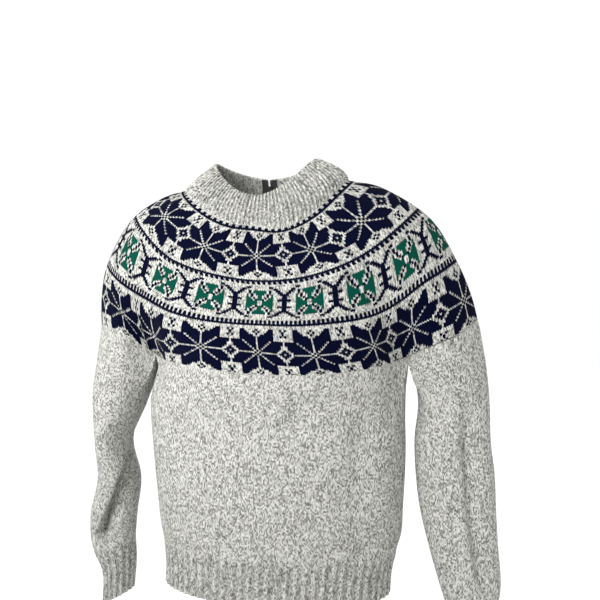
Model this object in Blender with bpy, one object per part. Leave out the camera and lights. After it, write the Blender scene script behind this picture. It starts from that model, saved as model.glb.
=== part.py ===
"""Round-yoke jumper, knitted in wool, filled out as worn with nobody inside.

Blender 4.5: blender --background --python part.py. Lengths in the tables are
millimetres; MM turns them into Blender's metres. -Y is the front, +Z up, and +X
is to the right of someone facing the front, which is what 'right' means in every
name below. The origin is where a neck inside would hold the garment up, on the
body's middle plane at the height of the neck seam's sides.

Each knitted piece is a patch: a grid of points on the outer face of the cloth.
Neighbouring patches share their seam points, so the cloth's normals are worked
out over all of them together. Each patch then becomes a wall of its own, drawn
back by half the seam gap, so that two pieces meet face to face on every seam.
"""

import math
from dataclasses import dataclass

import bmesh
import bpy
import numpy as np
from mathutils import Matrix, Vector

MM = 0.001

# ------------------------------------------------------------------ cloth
SEAM_GAP = 0.3            # between two pieces
KNIT_WALL = 3.0           # stockinette
NECKBAND_WALL = 4.5       # rib folded double
RIB_WALL = 3.0            # hem and cuffs
RIB_RISE = 1.2            # a rib above its valley

NECKBAND_RIBS = 96        # 1 x 1 rib
HEM_RIBS = 66             # 2 x 2 rib
CUFF_RIBS = 16
WIDE_RIB = (0.0, 1.0, 1.0)     # rise of the three columns that make a 2 x 2 rib

# ------------------------------------------------------------------ grids
BACK_HALF, CAP, FRONT_HALF = 16, 20, 16      # columns from centre back to centre front
UNDERARM = 4                                 # columns of an underarm
SPAN = 12                                    # curve steps between two corner points
NECKBAND_ROWS = (0.0, 0.5, 1.0)
BODY_ROWS = 8
SLEEVE_ROWS = 16
CUFF_ROWS = 2
HEM_ROWS = 2

# ------------------------------------------------------------------ neck opening and zip
SLIT_HALF = 3.5           # half the slit at the centre back
SLIT_FULL = 0.20          # down the yoke: the slit is open as far as here,
SLIT_END = 0.23           # and closed from here on
YOKE_ROWS = (0.0, 0.12, SLIT_FULL, SLIT_END, 0.39, 0.52, 0.64, 0.82, 1.0)

TAPE_EDGES = (1.5, 5.0, 9.0, 12.5)           # columns of a tape, from the middle
TAPE_WALL = 1.0
TAPE_ROWS_NECK = (0.02, 0.5, 1.0)
TAPE_ROWS_YOKE = (0.12, 0.25)

SLIDER_DOWN = 17.0        # from the top edge to the pull tab's hinge
SLIDER_LENGTH = 10.0
SLIDER_WIDTH = 6.2
PLATE = 1.2
PLATE_CLEAR = 0.3
POST_WIDTH = 2.0
LUG_INSIDE = 2.3
LUG_WALL = 0.75
LUG_LENGTH = 2.6
BAR_HEIGHT = 1.75         # hinge bar above the outer plate
BAR_RADIUS = 0.55
EYE_RADIUS = 1.4
EYE_HOLE = 0.9
EYE_WIDTH = 3.8
TAB_WIDTH = 5.0
TAB_LENGTH = 20.0
TAB_WALL = 1.2
TAB_START = 3.2           # the tab's shoulder below the bar
TAB_HOLE = 1.6            # radius of the hole at the tab's end
ROUND = 16                # sides of a small round piece

# ------------------------------------------------------------------ yoke
# A ring is one round of knitting, drawn by the corner points below. 'fold' is
# the crease between body and sleeve, 'cap' the front of the sleeve head.
RING = ("down", "shift", "front", "back", "fold_x", "fold_y", "cap_x", "cap_y",
        "outer_x", "outer_y", "z_front", "z_side", "z_back", "tilt", "power", "front_x",
        "back_x", "lift", "sag")
NECK_TOP = (0.00, -25, 56, 58, 52, 43, 73, 26, 82, 0, -20, 39, 18, 0.020, 2.0, 9, -9, 0, 0)
YOKE_RINGS = (
    (0.00, -25, 72, 70, 85, 56, 119, 33, 134, 0, -71, -5, -32, 0.000, 2.0, 0, -7, 9, 12),
    (0.20, -20, 88, 88, 120, 66, 162, 38, 183, 4, -114, -15, -72, 0.010, 2.2, 0, -3, 4, 4),
    (0.39, -12, 102, 104, 158, 76, 212, 45, 242, 6, -158, -50, -115, -0.008, 2.4, -5, -5, 0, 0),
    (0.64, -12, 114, 118, 185, 66, 244, 52, 289, 8, -219, -125, -178, 0.000, 3.0, -2, -2, 0, 0),
    (0.82, -7, 118, 121, 198, 42, 251, 49, 305, 10, -256, -176, -214, 0.000, 3.0, -1, -1, 0, 0),
    (1.00, -1, 119, 122, 205, 20, 253, 46, 312, 10, -292, -226, -250, 0.000, 3.0, -1, -1, 0, 0),
)
NECK_BULGE = 3.0          # the neckband's middle stands out from a straight cone,
RIGHT_BULGE = 9.0         # and by this much more on its right
CHEST_ROUND = 3.0         # how square the chest is between centre and fold
UNDERARM_DROP = 12.0      # sag of the underarm below the folds

# ------------------------------------------------------------------ body
SECTION = ("z", "shift", "half_width", "front", "back")
BODY_SECTIONS = (
    (-262, -6, 208, 119, 122),
    (-345, -10, 208, 118, 121),
    (-420, -7, 206, 116, 119),
    (-505, -5, 200, 112, 116),
    (-548, -4, 196, 109, 113),
    (-572, -5, 190, 106, 110),
    (-605, -7, 184, 104, 108),
    (-640, -9, 183, 104, 108),
)
HEM_TOP = -572.0
HEM_EDGE = -640.0
BODY_FADE = 110.0         # the yoke's shape fades out over this drop
BODY_FRONT_FOLD = 101.2   # degrees clockwise from the back to the front fold
BODY_BACK_FOLD = 70.4

# ------------------------------------------------------------------ sleeves
# One row per section, down the sleeve. 'slope' is the section's rise per unit
# outwards, so a tilted cuff or armhole has its own.
CUT = ("z", "x", "y", "half_width", "half_depth", "slope")
SLEEVE_CUTS = {
    "right": (
        (-247, 261, 10, 51, 50, 0.40),
        (-300, 268, 10, 54, 46, 0.20),
        (-345, 271, 10, 55, 42, 0.08),
        (-400, 270, 8, 58, 39, 0.00),
        (-450, 274, 6, 60, 38, 0.00),
        (-500, 278, 4, 58, 38, 0.00),
        (-555, 286, 0, 53, 37, 0.00),
        (-615, 297, -6, 46, 35, 0.00),
        (-655, 301, -10, 37, 33, 0.00),
        (-735, 304, -14, 31, 28, 0.00),
    ),
    "left": (
        (-247, 264, 10, 50, 50, 0.40),
        (-300, 272, 11, 50, 50, 0.25),
        (-350, 283, 12, 44, 52, 0.20),
        (-419, 294, 14, 27, 54, 0.10),
        (-486, 288, 20, 34, 48, 0.00),
        (-554, 300, 22, 39, 42, -0.10),
        (-600, 297, 18, 35, 37, -0.25),
        (-628, 287, 14, 27, 35, -0.33),
        (-682, 285, 8, 24, 32, -0.45),
    ),
}
CUFF_TOP = {"right": -655.0, "left": -600.0}
CUFF_EDGE = {"right": -735.0, "left": -682.0}
SLEEVE_FADE = 100.0
SLEEVE_FOLD = 60.7        # degrees from the middle of the underarm's far side to a fold

# ------------------------------------------------------------------ creases
# A crease runs on the cloth from one place to another, given by the degrees
# clockwise from the back and the height. 'soft' is the width of its gentle side.
CREASE = ("from_turn", "from_z", "to_turn", "to_z", "depth", "soft", "lip")
CREASES = {
    "body": (
        (196, -310, 203, -520, 6, 26, 26),
        (160, -330, 171, -480, 5, 22, 22),
        (128, -320, 140, -540, 8, 24, 20),
        (224, -330, 214, -470, 5, 24, 24),
        (20, -320, 12, -500, 6, 26, 26),
        (330, -330, 342, -520, 7, 26, 22),
    ),
    "right": (
        (166, -330, 152, -640, 12, 17, 14),
        (262, -300, 238, -400, 5, 14, 14),
        (20, -330, 40, -560, 7, 18, 16),
    ),
    "left": (
        (100, -405, 214, -580, 24, 36, 10),
        (330, -360, 20, -520, 8, 18, 16),
    ),
}

WOOL = (0.50, 0.49, 0.44, 1.0)
PATTERNED_WOOL = (0.24, 0.26, 0.29, 1.0)
TAPE_BLACK = (0.010, 0.010, 0.012, 1.0)
ZIP_METAL = (0.62, 0.62, 0.60, 1.0)


# ================================================================== curves
def named(columns, row):
    return dict(zip(columns, row))


def smooth_through(keys, values, at):
    """A cubic curve through one value for each rising key, read at the places given."""
    keys, values, at = (np.asarray(item, float) for item in (keys, values, at))
    slopes = np.gradient(values, keys, axis=0)
    start = np.clip(np.searchsorted(keys, at, side="right") - 1, 0, len(keys) - 2)
    shape = (-1,) + (1,) * (values.ndim - 1)
    width = (keys[start + 1] - keys[start]).reshape(shape)
    t = (at - keys[start]).reshape(shape) / width
    ease = t * t * (3 - 2 * t)
    leaving = t * (1 - t) ** 2 * width * slopes[start]
    arriving = t * t * (t - 1) * width * slopes[start + 1]
    return (1 - ease) * values[start] + ease * values[start + 1] + leaving + arriving


def read_table(columns, table, heights):
    """Columns of a table, keyed by height in its first one, read smoothly at any heights."""
    rows = np.array(sorted(table), float)
    values = smooth_through(rows[:, 0], rows[:, 1:], np.atleast_1d(heights))
    return {name: values[:, i, None] for i, name in enumerate(columns[1:])}


def arc_length(curve):
    steps = np.linalg.norm(np.diff(curve, axis=0), axis=1)
    return np.concatenate([[0.0], np.cumsum(steps)])


def at_length(curve, places):
    """Points at the given lengths along a curve."""
    length = arc_length(curve)
    return np.stack([np.interp(places, length, curve[:, k]) for k in range(3)], axis=1)


def spread(curve, marks, counts):
    """Points evenly spaced along a curve between each pair of marks."""
    length = arc_length(curve)
    places = [np.linspace(length[a], length[b], n, endpoint=False)
              for a, b, n in zip(marks, marks[1:], counts)]
    return at_length(curve, np.concatenate(places))


# ================================================================== yoke
def ring_corners(row):
    """The corner points of one ring, clockwise from the centre back seen from above."""
    ring = named(RING, row)

    def corner(x, y, z_middle):
        rise = 1 - (x / ring["outer_x"]) ** ring["power"]
        return x, y, ring["z_side"] + (z_middle - ring["z_side"]) * rise

    def bowed(share, middle, fold):
        return middle - (middle - fold) * share ** CHEST_ROUND

    fold_x, outer_y = ring["fold_x"], ring["outer_y"]
    back_fold = ring["fold_y"] + 2 * outer_y
    back_cap = ring["cap_y"] + 2 * outer_y
    half = [corner(0.0, ring["back"], ring["z_back"])]
    for share in (0.45, 0.8, 1.0):
        y = bowed(share, ring["back"], back_fold)
        half.append(corner(share * fold_x, y, ring["z_back"]))
    half.append(corner(ring["cap_x"], back_cap, ring["z_back"]))
    half.append(corner(ring["outer_x"], outer_y, ring["z_side"]))
    half.append(corner(ring["cap_x"], -ring["cap_y"], ring["z_front"]))
    for share in (1.0, 0.8, 0.45):
        y = bowed(share, ring["front"], ring["fold_y"])
        half.append(corner(share * fold_x, -y, ring["z_front"]))
    half.append(corner(0.0, -ring["front"], ring["z_front"]))

    mirrored = [(-x, y, z) for x, y, z in half[-2:0:-1]]
    points = np.array(half + mirrored)
    points[:, 2] += ring["tilt"] * points[:, 0]
    rightwards = np.clip(points[:, 0] / ring["outer_x"], 0, 1)
    points[:, 2] += ring["lift"] * rightwards ** 4
    points[:, 2] -= ring["sag"] * 4 * rightwards * (1 - rightwards) * (points[:, 1] < 0)
    points[0, 0] += ring["back_x"]
    points[FRONT_AT, 0] += ring["front_x"]
    points[:, 0] += ring["shift"]
    return points


# Places of the corner points in the list that ring_corners makes.
BACK_FOLD_AT, FRONT_FOLD_AT, FRONT_AT, CORNERS = 3, 7, 10, 20
RING_MARKS = (0, BACK_FOLD_AT, FRONT_FOLD_AT, FRONT_AT,
              CORNERS - FRONT_FOLD_AT, CORNERS - BACK_FOLD_AT, CORNERS)
RING_COLUMNS = (BACK_HALF, CAP, FRONT_HALF, FRONT_HALF, CAP, BACK_HALF)


def ring_curve(row):
    """One ring as a smooth closed curve with SPAN steps between its corner points."""
    points = ring_corners(row)
    count = len(points)
    wrapped = np.vstack([points[-3:], points, points[:4]])
    keys = arc_length(wrapped)
    places = [np.linspace(keys[3 + i], keys[4 + i], SPAN, endpoint=False)
              for i in range(count)]
    return smooth_through(keys, wrapped, np.concatenate(places + [[keys[3 + count]]]))


def ring_columns(row):
    return spread(ring_curve(row), [mark * SPAN for mark in RING_MARKS], RING_COLUMNS)


def yoke_rings(rows, columns_of=ring_columns):
    """Rounds of the yoke at the given places down it, each with the same columns."""
    keys = [ring[0] for ring in YOKE_RINGS]
    return smooth_through(keys, [columns_of(ring) for ring in YOKE_RINGS], rows)


def from_the_back(offsets):
    """A function that gives a ring's points at lengths on either side of the centre back."""
    def points(row):
        curve = ring_curve(row)
        whole = arc_length(curve)[-1]
        return at_length(curve, np.mod(offsets, whole))
    return points


def around_the_neck(count):
    """A function that gives a ring's points spaced evenly from one slit edge to the other."""
    def points(row):
        curve = ring_curve(row)
        whole = arc_length(curve)[-1]
        return at_length(curve, np.linspace(SLIT_HALF, whole - SLIT_HALF, count))
    return points


def neck_rings(rows, columns_of):
    """Rounds of the neckband, from its top edge (0) to the neck seam (1)."""
    top, seam = columns_of(NECK_TOP), columns_of(YOKE_RINGS[0])
    middle = (top + seam) / 2
    centre = np.array([YOKE_RINGS[0][1], 0.0, 0.0])
    outwards = (middle - centre) * (1, 1, 0)
    outwards /= np.linalg.norm(outwards, axis=1, keepdims=True)
    outwards *= NECK_BULGE + RIGHT_BULGE * np.clip(outwards[:, :1], 0, 1) ** 2
    return np.array([(1 - row) * top + row * seam + outwards * math.sin(math.pi * row)
                     for row in rows])


def yoke_grid():
    """The yoke's points; the first and last column part at the slit and meet below it."""
    rings = yoke_rings(YOKE_ROWS)
    rings = np.concatenate([rings, rings[:, :1]], axis=1)
    edges = yoke_rings(YOKE_ROWS, from_the_back(np.array([SLIT_HALF, -SLIT_HALF])))
    for row, down in enumerate(YOKE_ROWS):
        if down <= SLIT_FULL:
            rings[row, 0], rings[row, -1] = edges[row]
    return rings


# ================================================================== body
def creased(name, turns, heights, points, centres):
    """Press the creases of a tube into its points, towards the tube's middle line."""
    inwards = centres - points
    inwards[..., 2] = 0
    radius = np.linalg.norm(inwards, axis=-1, keepdims=True)
    inwards = inwards / radius
    push = np.zeros(points.shape[:-1])
    for row in CREASES[name]:
        crease = named(CREASE, row)
        start = np.array([0.0, crease["from_z"]])
        turned = (crease["to_turn"] - crease["from_turn"] + 180) % 360 - 180
        size = np.mean(radius)
        end = np.array([math.radians(turned) * size, crease["to_z"]])
        run = end - start
        length = np.linalg.norm(run)
        across = (turns - crease["from_turn"] + 180) % 360 - 180
        place = np.stack([np.radians(across) * size, heights], axis=-1) - start
        along = place @ run / length ** 2
        aside = (place[..., 0] * run[1] - place[..., 1] * run[0]) / length
        width = np.where(aside > 0, crease["soft"], crease["lip"])
        fade = np.clip(np.minimum(along, 1 - along) / 0.3, 0, 1)
        push += crease["depth"] * np.exp(-(aside / width) ** 2) * fade * fade * (3 - 2 * fade)
    return points + inwards * push[..., None]


def even_turns(half_width, half_depth, start, stop, count):
    """Degrees that divide part of an ellipse into stretches of equal length."""
    fine = np.radians(np.linspace(start, stop, 400))
    outline = np.stack([half_width * np.sin(fine), half_depth * np.cos(fine),
                        np.zeros_like(fine)], axis=1)
    length = arc_length(outline)
    return np.degrees(np.interp(np.linspace(0, length[-1], count + 1), length, fine))


def body_turns():
    """Degrees of the body's columns, clockwise from the +X underarm's middle."""
    chest = named(SECTION, BODY_SECTIONS[0])
    half_depth = (chest["front"] + chest["back"]) / 2
    middle = (BODY_FRONT_FOLD + BODY_BACK_FOLD) / 2
    stops = (middle, BODY_FRONT_FOLD, 360 - BODY_FRONT_FOLD, 360 - middle,
             360 - BODY_BACK_FOLD, 360 + BODY_BACK_FOLD, 360 + middle)
    counts = (UNDERARM // 2, 2 * FRONT_HALF, UNDERARM // 2,
              UNDERARM // 2, 2 * BACK_HALF, UNDERARM // 2)
    parts = [even_turns(chest["half_width"], half_depth, a, b, n)[:-1]
             for a, b, n in zip(stops, stops[1:], counts)]
    return np.concatenate(parts)


def body_rings(heights, turns):
    """Sections of the body: two half ellipses each, with the body's creases."""
    heights = np.asarray(heights, float)
    section = read_table(SECTION, BODY_SECTIONS, heights)
    sine, cosine = np.sin(np.radians(turns)), np.cos(np.radians(turns))
    depth = np.where(cosine > 0, section["back"], section["front"])
    level = np.broadcast_to(heights[:, None], depth.shape)
    centres = np.stack([section["shift"] + 0 * depth, 0 * depth, level], axis=-1)
    out = np.stack([section["half_width"] * sine, depth * cosine, 0 * depth], axis=-1)
    points = centres + out
    around = np.broadcast_to(turns, depth.shape)
    return creased("body", around, level, points, centres)


def fading(distance, reach):
    t = np.clip(1 - np.asarray(distance) / reach, 0, 1)
    return t * t * (3 - 2 * t)


def underarm_curve(front_fold, back_fold):
    """The seam under one arm, from the front fold to the back one, sagging between."""
    share = np.linspace(0, 1, UNDERARM + 1)[:, None]
    curve = front_fold + (back_fold - front_fold) * share
    curve[:, 2] -= UNDERARM_DROP * np.sin(math.pi * share[:, 0])
    return curve


def seam_points():
    """The yoke's lower edge in its four stretches, and the two underarm seams."""
    rim = yoke_rings([1.0])[0]
    turn = np.cumsum((BACK_HALF, CAP, 2 * FRONT_HALF, CAP))
    closed = np.vstack([rim, rim[:BACK_HALF + 1]])
    right_cap = closed[turn[0]:turn[1] + 1]
    front = closed[turn[1]:turn[2] + 1]
    left_cap = closed[turn[2]:turn[3] + 1]
    back = closed[turn[3]:turn[3] + 2 * BACK_HALF + 1]
    right_under = underarm_curve(front[0], right_cap[0])
    left_under = underarm_curve(front[-1], left_cap[-1])
    return right_cap, front, left_cap, back, right_under, left_under


def body_grid():
    """Rounds of the body, from the yoke and underarms down to the hem seam."""
    _, front, _, back, right_under, left_under = seam_points()
    half = UNDERARM // 2
    top = np.vstack([right_under[half::-1][:-1], front[:-1], left_under[:half],
                     left_under[half:-1], back[:-1], right_under[:half:-1]])
    turns = body_turns()
    heights = np.linspace(BODY_SECTIONS[0][0], HEM_TOP, BODY_ROWS + 1)
    rings = body_rings(heights, turns)
    fade = fading(heights[0] - heights, BODY_FADE)
    return rings + (top - rings[0]) * fade[:, None, None]


# ================================================================== sleeves
def sleeve_turns(side):
    """Degrees of the armhole's columns: over the sleeve head, then the underarm."""
    head = np.linspace(-SLEEVE_FOLD, 180 + SLEEVE_FOLD, CAP + 1)
    under = np.linspace(180 + SLEEVE_FOLD, 360 - SLEEVE_FOLD, UNDERARM + 1)
    if side == "left":
        head, under = head + 180, under + 180
    return np.concatenate([head[:-1], under[:-1]])


def sleeve_rings(side, heights, turns):
    """Sections of one sleeve, from its table of cuts, with its creases."""
    heights = np.asarray(heights, float)
    cut = read_table(CUT, SLEEVE_CUTS[side], heights)
    outwards = 1 if side == "right" else -1
    across = cut["half_width"] * np.sin(np.radians(turns))
    level = heights[:, None] + cut["slope"] * across * outwards
    centres = np.stack([cut["x"] * outwards + 0 * level, cut["y"] + 0 * level, level], axis=-1)
    out = np.stack([across, cut["half_depth"] * np.cos(np.radians(turns)), 0 * level], axis=-1)
    points = centres + out
    around = np.broadcast_to(turns, level.shape)
    return creased(side, around, level, points, centres)


def sleeve_grid(side):
    """Rounds of a sleeve from the armhole to the cuff seam."""
    right_cap, _, left_cap, _, right_under, left_under = seam_points()
    if side == "right":
        top = np.vstack([right_cap[:-1], right_under[:-1]])
    else:
        top = np.vstack([left_cap[:-1], left_under[:0:-1]])
    first = SLEEVE_CUTS[side][0][0]
    heights = np.linspace(first, CUFF_TOP[side], SLEEVE_ROWS + 1)
    rings = sleeve_rings(side, heights, sleeve_turns(side))
    fade = fading(heights[0] - heights, SLEEVE_FADE)
    return rings + (top - rings[0]) * fade[:, None, None]


# ================================================================== walls
@dataclass
class Patch:
    """Points on the outer face of one piece, and how thick the piece is below them."""
    name: str
    points: np.ndarray
    closed: bool
    wall: float
    rise: object = 0.0

    def quads(self):
        rows, columns = self.points.shape[:2]
        last = columns if self.closed else columns - 1
        for r in range(rows - 1):
            for c in range(last):
                right = (c + 1) % columns
                yield (r, c), (r, right), (r + 1, right), (r + 1, c)


def weld(patches):
    """Number the points of all patches, giving points in the same place one number."""
    numbers, places = {}, []
    grids = []
    for patch in patches:
        rows, columns = patch.points.shape[:2]
        grid = np.zeros((rows, columns), int)
        for r in range(rows):
            for c in range(columns):
                key = tuple(np.round(patch.points[r, c], 4))
                if key not in numbers:
                    numbers[key] = len(places)
                    places.append(patch.points[r, c])
                grid[r, c] = numbers[key]
        grids.append(grid)
    return np.array(places), grids


def unit(vectors):
    return vectors / np.maximum(np.linalg.norm(vectors, axis=1, keepdims=True), 1e-9)


def build_walls(patches, neighbours=(), back_to_back=()):
    """Closed walls for the patches. The neighbours only steer the normals at the seams.

    At the points given as back to back, body and sleeve hang down side by side from one
    seam, so each keeps the normal of its own pieces there."""
    everything = list(patches) + list(neighbours)
    places, grids = weld(everything)
    kinds = [patch.name.split("_")[0] for patch in everything]
    normals = {kind: np.zeros_like(places) for kind in kinds}
    faces = []
    for patch, kind, grid in zip(everything, kinds, grids):
        found = [tuple(grid[spot] for spot in quad) for quad in patch.quads()]
        faces.append(found)
        for a, b, c, d in found:
            normal = np.cross(places[c] - places[a], places[d] - places[b])
            for corner in (a, b, c, d):
                normals[kind][corner] += normal
    shared = unit(sum(normals.values()))
    parted = np.array([any(np.allclose(place, point, atol=0.001) for point in back_to_back)
                       for place in places])
    walls = []
    for patch, kind, grid, found in zip(patches, kinds, grids, faces):
        spots, out = places.copy(), shared.copy()
        if kind in ("body", "sleeve"):
            out[parted] = unit(normals[kind][parted])
            spots[parted] -= out[parted] * SEAM_GAP / 2
        walls.append(wall_mesh(patch, grid, found, spots, out))
    return walls


def open_edges(faces):
    """Edges of one patch that only one of its faces has, in that face's direction."""
    edges = {(face[i], face[(i + 1) % 4]) for face in faces for i in range(4)}
    return [edge for edge in edges if edge[::-1] not in edges]


def wall_mesh(patch, grid, faces, places, normals):
    """Outer face, inner face and rims of one patch, drawn back from its open edges."""
    used = sorted({corner for face in faces for corner in face})
    local = {number: i for i, number in enumerate(used)}
    points, out = places[used].copy(), normals[used]
    faces = [tuple(local[corner] for corner in face) for face in faces]
    rise = np.zeros(len(used))
    rises = np.broadcast_to(patch.rise, grid.shape)
    for number, value in zip(grid.ravel(), rises.ravel()):
        rise[local[number]] = value

    rims = sorted(open_edges(faces))
    inwards = np.zeros_like(points)
    for face in faces:
        centre = points[list(face)].mean(axis=0)
        for corner in face:
            inwards[corner] += centre - points[corner]
    inwards -= out * np.sum(inwards * out, axis=1, keepdims=True)
    inwards /= np.maximum(np.linalg.norm(inwards, axis=1, keepdims=True), 1e-9)
    on_rim = sorted({corner for edge in rims for corner in edge})
    points[on_rim] += inwards[on_rim] * SEAM_GAP / 2

    outer = points + out * rise[:, None]
    inner = points - out * patch.wall
    count = len(used)
    solid = [face for face in faces]
    solid += [tuple(corner + count for corner in face[::-1]) for face in faces]
    solid += [(b, a, a + count, b + count) for a, b in rims]
    return patch.name, np.vstack([outer, inner]), solid


# ================================================================== objects
def material(name, colour, roughness, metallic=0.0):
    made = bpy.data.materials.new(name)
    made.use_nodes = True
    shader = made.node_tree.nodes["Principled BSDF"]
    shader.inputs["Base Color"].default_value = colour
    shader.inputs["Roughness"].default_value = roughness
    shader.inputs["Metallic"].default_value = metallic
    made.diffuse_color = colour
    return made


def add_object(name, mesh, collection, finish):
    mesh.materials.append(finish)
    made = bpy.data.objects.new(name, mesh)
    collection.objects.link(made)
    return made


def add_wall(wall, collection, finish):
    name, points, faces = wall
    mesh = bpy.data.meshes.new(name)
    mesh.from_pydata((points * MM).tolist(), [], faces)
    mesh.validate()
    mesh.shade_smooth()
    mesh.set_sharp_from_angle(angle=math.radians(40))
    return add_object(name, mesh, collection, finish)


# ================================================================== knitted pieces
def neckband_patch():
    columns_of = around_the_neck(2 * NECKBAND_RIBS + 1)
    rise = RIB_RISE * (np.arange(2 * NECKBAND_RIBS + 1) % 2)
    return Patch("neckband", neck_rings(NECKBAND_ROWS, columns_of), False,
                 NECKBAND_WALL, rise)


def panels(grid):
    """The body's rounds cut at the two sides into a front and a back."""
    across = 2 * FRONT_HALF + UNDERARM
    whole = np.concatenate([grid, grid[:, :1]], axis=1)
    front = Patch("body_front", whole[:, :across + 1], False, KNIT_WALL)
    back = Patch("body_back", whole[:, across:], False, KNIT_WALL)
    return front, back


def main_pieces():
    """Yoke, front, back and sleeves: their seams share points, so they are built together."""
    body, right, left = body_grid(), sleeve_grid("right"), sleeve_grid("left")
    patches = [Patch("yoke", yoke_grid(), False, KNIT_WALL), *panels(body),
               Patch("sleeve_right", right, True, KNIT_WALL),
               Patch("sleeve_left", left, True, KNIT_WALL)]
    slit_edge = from_the_back(np.array([SLIT_HALF, -SLIT_HALF]))

    def neck_columns(row):
        columns = ring_columns(row)
        first, last = slit_edge(row)
        return np.vstack([first, columns[1:], last])

    hem_step = (HEM_TOP - HEM_EDGE) / HEM_ROWS
    below = body_rings([HEM_TOP, HEM_TOP - hem_step], body_turns())
    neighbours = [Patch("neck", neck_rings(NECKBAND_ROWS[-2:], neck_columns), False, 0),
                  Patch("hem", below, True, 0)]
    for side in ("right", "left"):
        step = (CUFF_TOP[side] - CUFF_EDGE[side]) / CUFF_ROWS
        heights = [CUFF_TOP[side], CUFF_TOP[side] - step]
        rings = sleeve_rings(side, heights, sleeve_turns(side))
        neighbours.append(Patch("cuff", rings, True, 0))
    *_, right_under, left_under = seam_points()
    return build_walls(patches, neighbours, np.vstack([right_under, left_under]))


def ribbed_tube(name, rings_at, heights, above, ribs):
    """A ribbed band; 'above' is the last height of the piece that it is sewn to."""
    columns = len(WIDE_RIB) * ribs
    band = Patch(name, rings_at(heights, columns), True, RIB_WALL,
                 RIB_RISE * np.tile(WIDE_RIB, ribs))
    neighbour = Patch("above", rings_at([above, heights[0]], columns), True, 0)
    return build_walls([band], [neighbour])[0]


def hem_rib():
    def rings_at(heights, columns):
        edge = named(SECTION, BODY_SECTIONS[-1])
        half_depth = (edge["front"] + edge["back"]) / 2
        turns = even_turns(edge["half_width"], half_depth, 0, 360, columns)[:-1]
        return body_rings(heights, turns)

    step = (BODY_SECTIONS[0][0] - HEM_TOP) / BODY_ROWS
    heights = np.linspace(HEM_TOP, HEM_EDGE, HEM_ROWS + 1)
    return ribbed_tube("hem_rib", rings_at, heights, HEM_TOP + step, HEM_RIBS)


def cuff(side):
    def rings_at(heights, columns):
        return sleeve_rings(side, heights, np.arange(columns) * 360 / columns)

    step = (SLEEVE_CUTS[side][0][0] - CUFF_TOP[side]) / SLEEVE_ROWS
    heights = np.linspace(CUFF_TOP[side], CUFF_EDGE[side], CUFF_ROWS + 1)
    return ribbed_tube("cuff_" + side, rings_at, heights, CUFF_TOP[side] + step, CUFF_RIBS)


# ================================================================== zip
def tape(name, side):
    """One zip tape behind the slit, a little below the cloth's inner face."""
    columns_of = from_the_back(np.array(TAPE_EDGES) * side)
    points = np.concatenate([neck_rings(TAPE_ROWS_NECK, columns_of),
                             yoke_rings(TAPE_ROWS_YOKE, columns_of)])
    if side < 0:
        points = points[:, ::-1]
    below = [NECKBAND_WALL + SEAM_GAP] * len(TAPE_ROWS_NECK)
    below += [KNIT_WALL + SEAM_GAP] * len(TAPE_ROWS_YOKE)
    sunk = np.repeat(np.array(below)[:, None], len(TAPE_EDGES), axis=1)
    name, places, faces = build_walls([Patch(name, points, False, 0, -sunk)])[0]
    count = len(places) // 2
    outer, flat = places[:count], places[count:]
    drop = outer - flat
    depth = np.linalg.norm(drop, axis=1, keepdims=True)
    inner = outer + drop / depth * TAPE_WALL
    return name, np.vstack([outer, inner]), faces


def zip_frame():
    """Hinge place and axes of the zip: across (+X), out of the cloth, and down the slit."""
    top, middle = neck_rings(NECKBAND_ROWS[:2], from_the_back(np.array([0.0])))[:, 0]
    down = (middle - top) / np.linalg.norm(middle - top)
    beside = neck_rings(NECKBAND_ROWS[:2], from_the_back(np.array([SLIT_HALF, -SLIT_HALF])))
    across = (beside[:, 0] - beside[:, 1]).mean(axis=0)
    across -= down * np.dot(across, down)
    across /= np.linalg.norm(across)
    out = np.cross(across, down)
    tape_face = NECKBAND_WALL + SEAM_GAP
    hinge = top + down * SLIDER_DOWN - out * (tape_face - PLATE_CLEAR - PLATE - BAR_HEIGHT)
    frame = Matrix((across, out, -down)).transposed().to_4x4()
    frame.translation = Vector(hinge * MM)
    return frame


def box(size, centre):
    made = bpy.data.meshes.new("box")
    shape = bmesh.new()
    stretch = Matrix.Diagonal((*(length * MM for length in size), 1.0))
    place = Matrix.Translation(Vector(centre) * MM) @ stretch
    bmesh.ops.create_cube(shape, size=1.0, matrix=place)
    shape.to_mesh(made)
    shape.free()
    return made


def rod(radius, length, centre, axis="X"):
    """A round bar across the zip, or through the tab when the axis is Y."""
    turned = Matrix.Rotation(math.pi / 2, 4, "Y" if axis == "X" else "X")
    made = bpy.data.meshes.new("rod")
    shape = bmesh.new()
    bmesh.ops.create_cone(shape, cap_ends=True, segments=ROUND, radius1=radius * MM,
                          radius2=radius * MM, depth=length * MM,
                          matrix=Matrix.Translation(Vector(centre) * MM) @ turned)
    shape.to_mesh(made)
    shape.free()
    return made


def combine(name, joined, cut, frame, collection, tools, finish):
    """Union the first meshes, cut the others away, and place the result."""
    base = add_object(name, joined[0], collection, finish)
    steps = [("UNION", mesh) for mesh in joined[1:]] + [("DIFFERENCE", mesh) for mesh in cut]
    for operation, mesh in steps:
        helper = add_object(name + "_helper", mesh, tools, finish)
        helper.matrix_world = frame
        helper.hide_render = True
        helper.display_type = "WIRE"
        step = base.modifiers.new(operation.title(), "BOOLEAN")
        step.operation = operation
        step.object = helper
    base.matrix_world = frame
    return base


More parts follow.
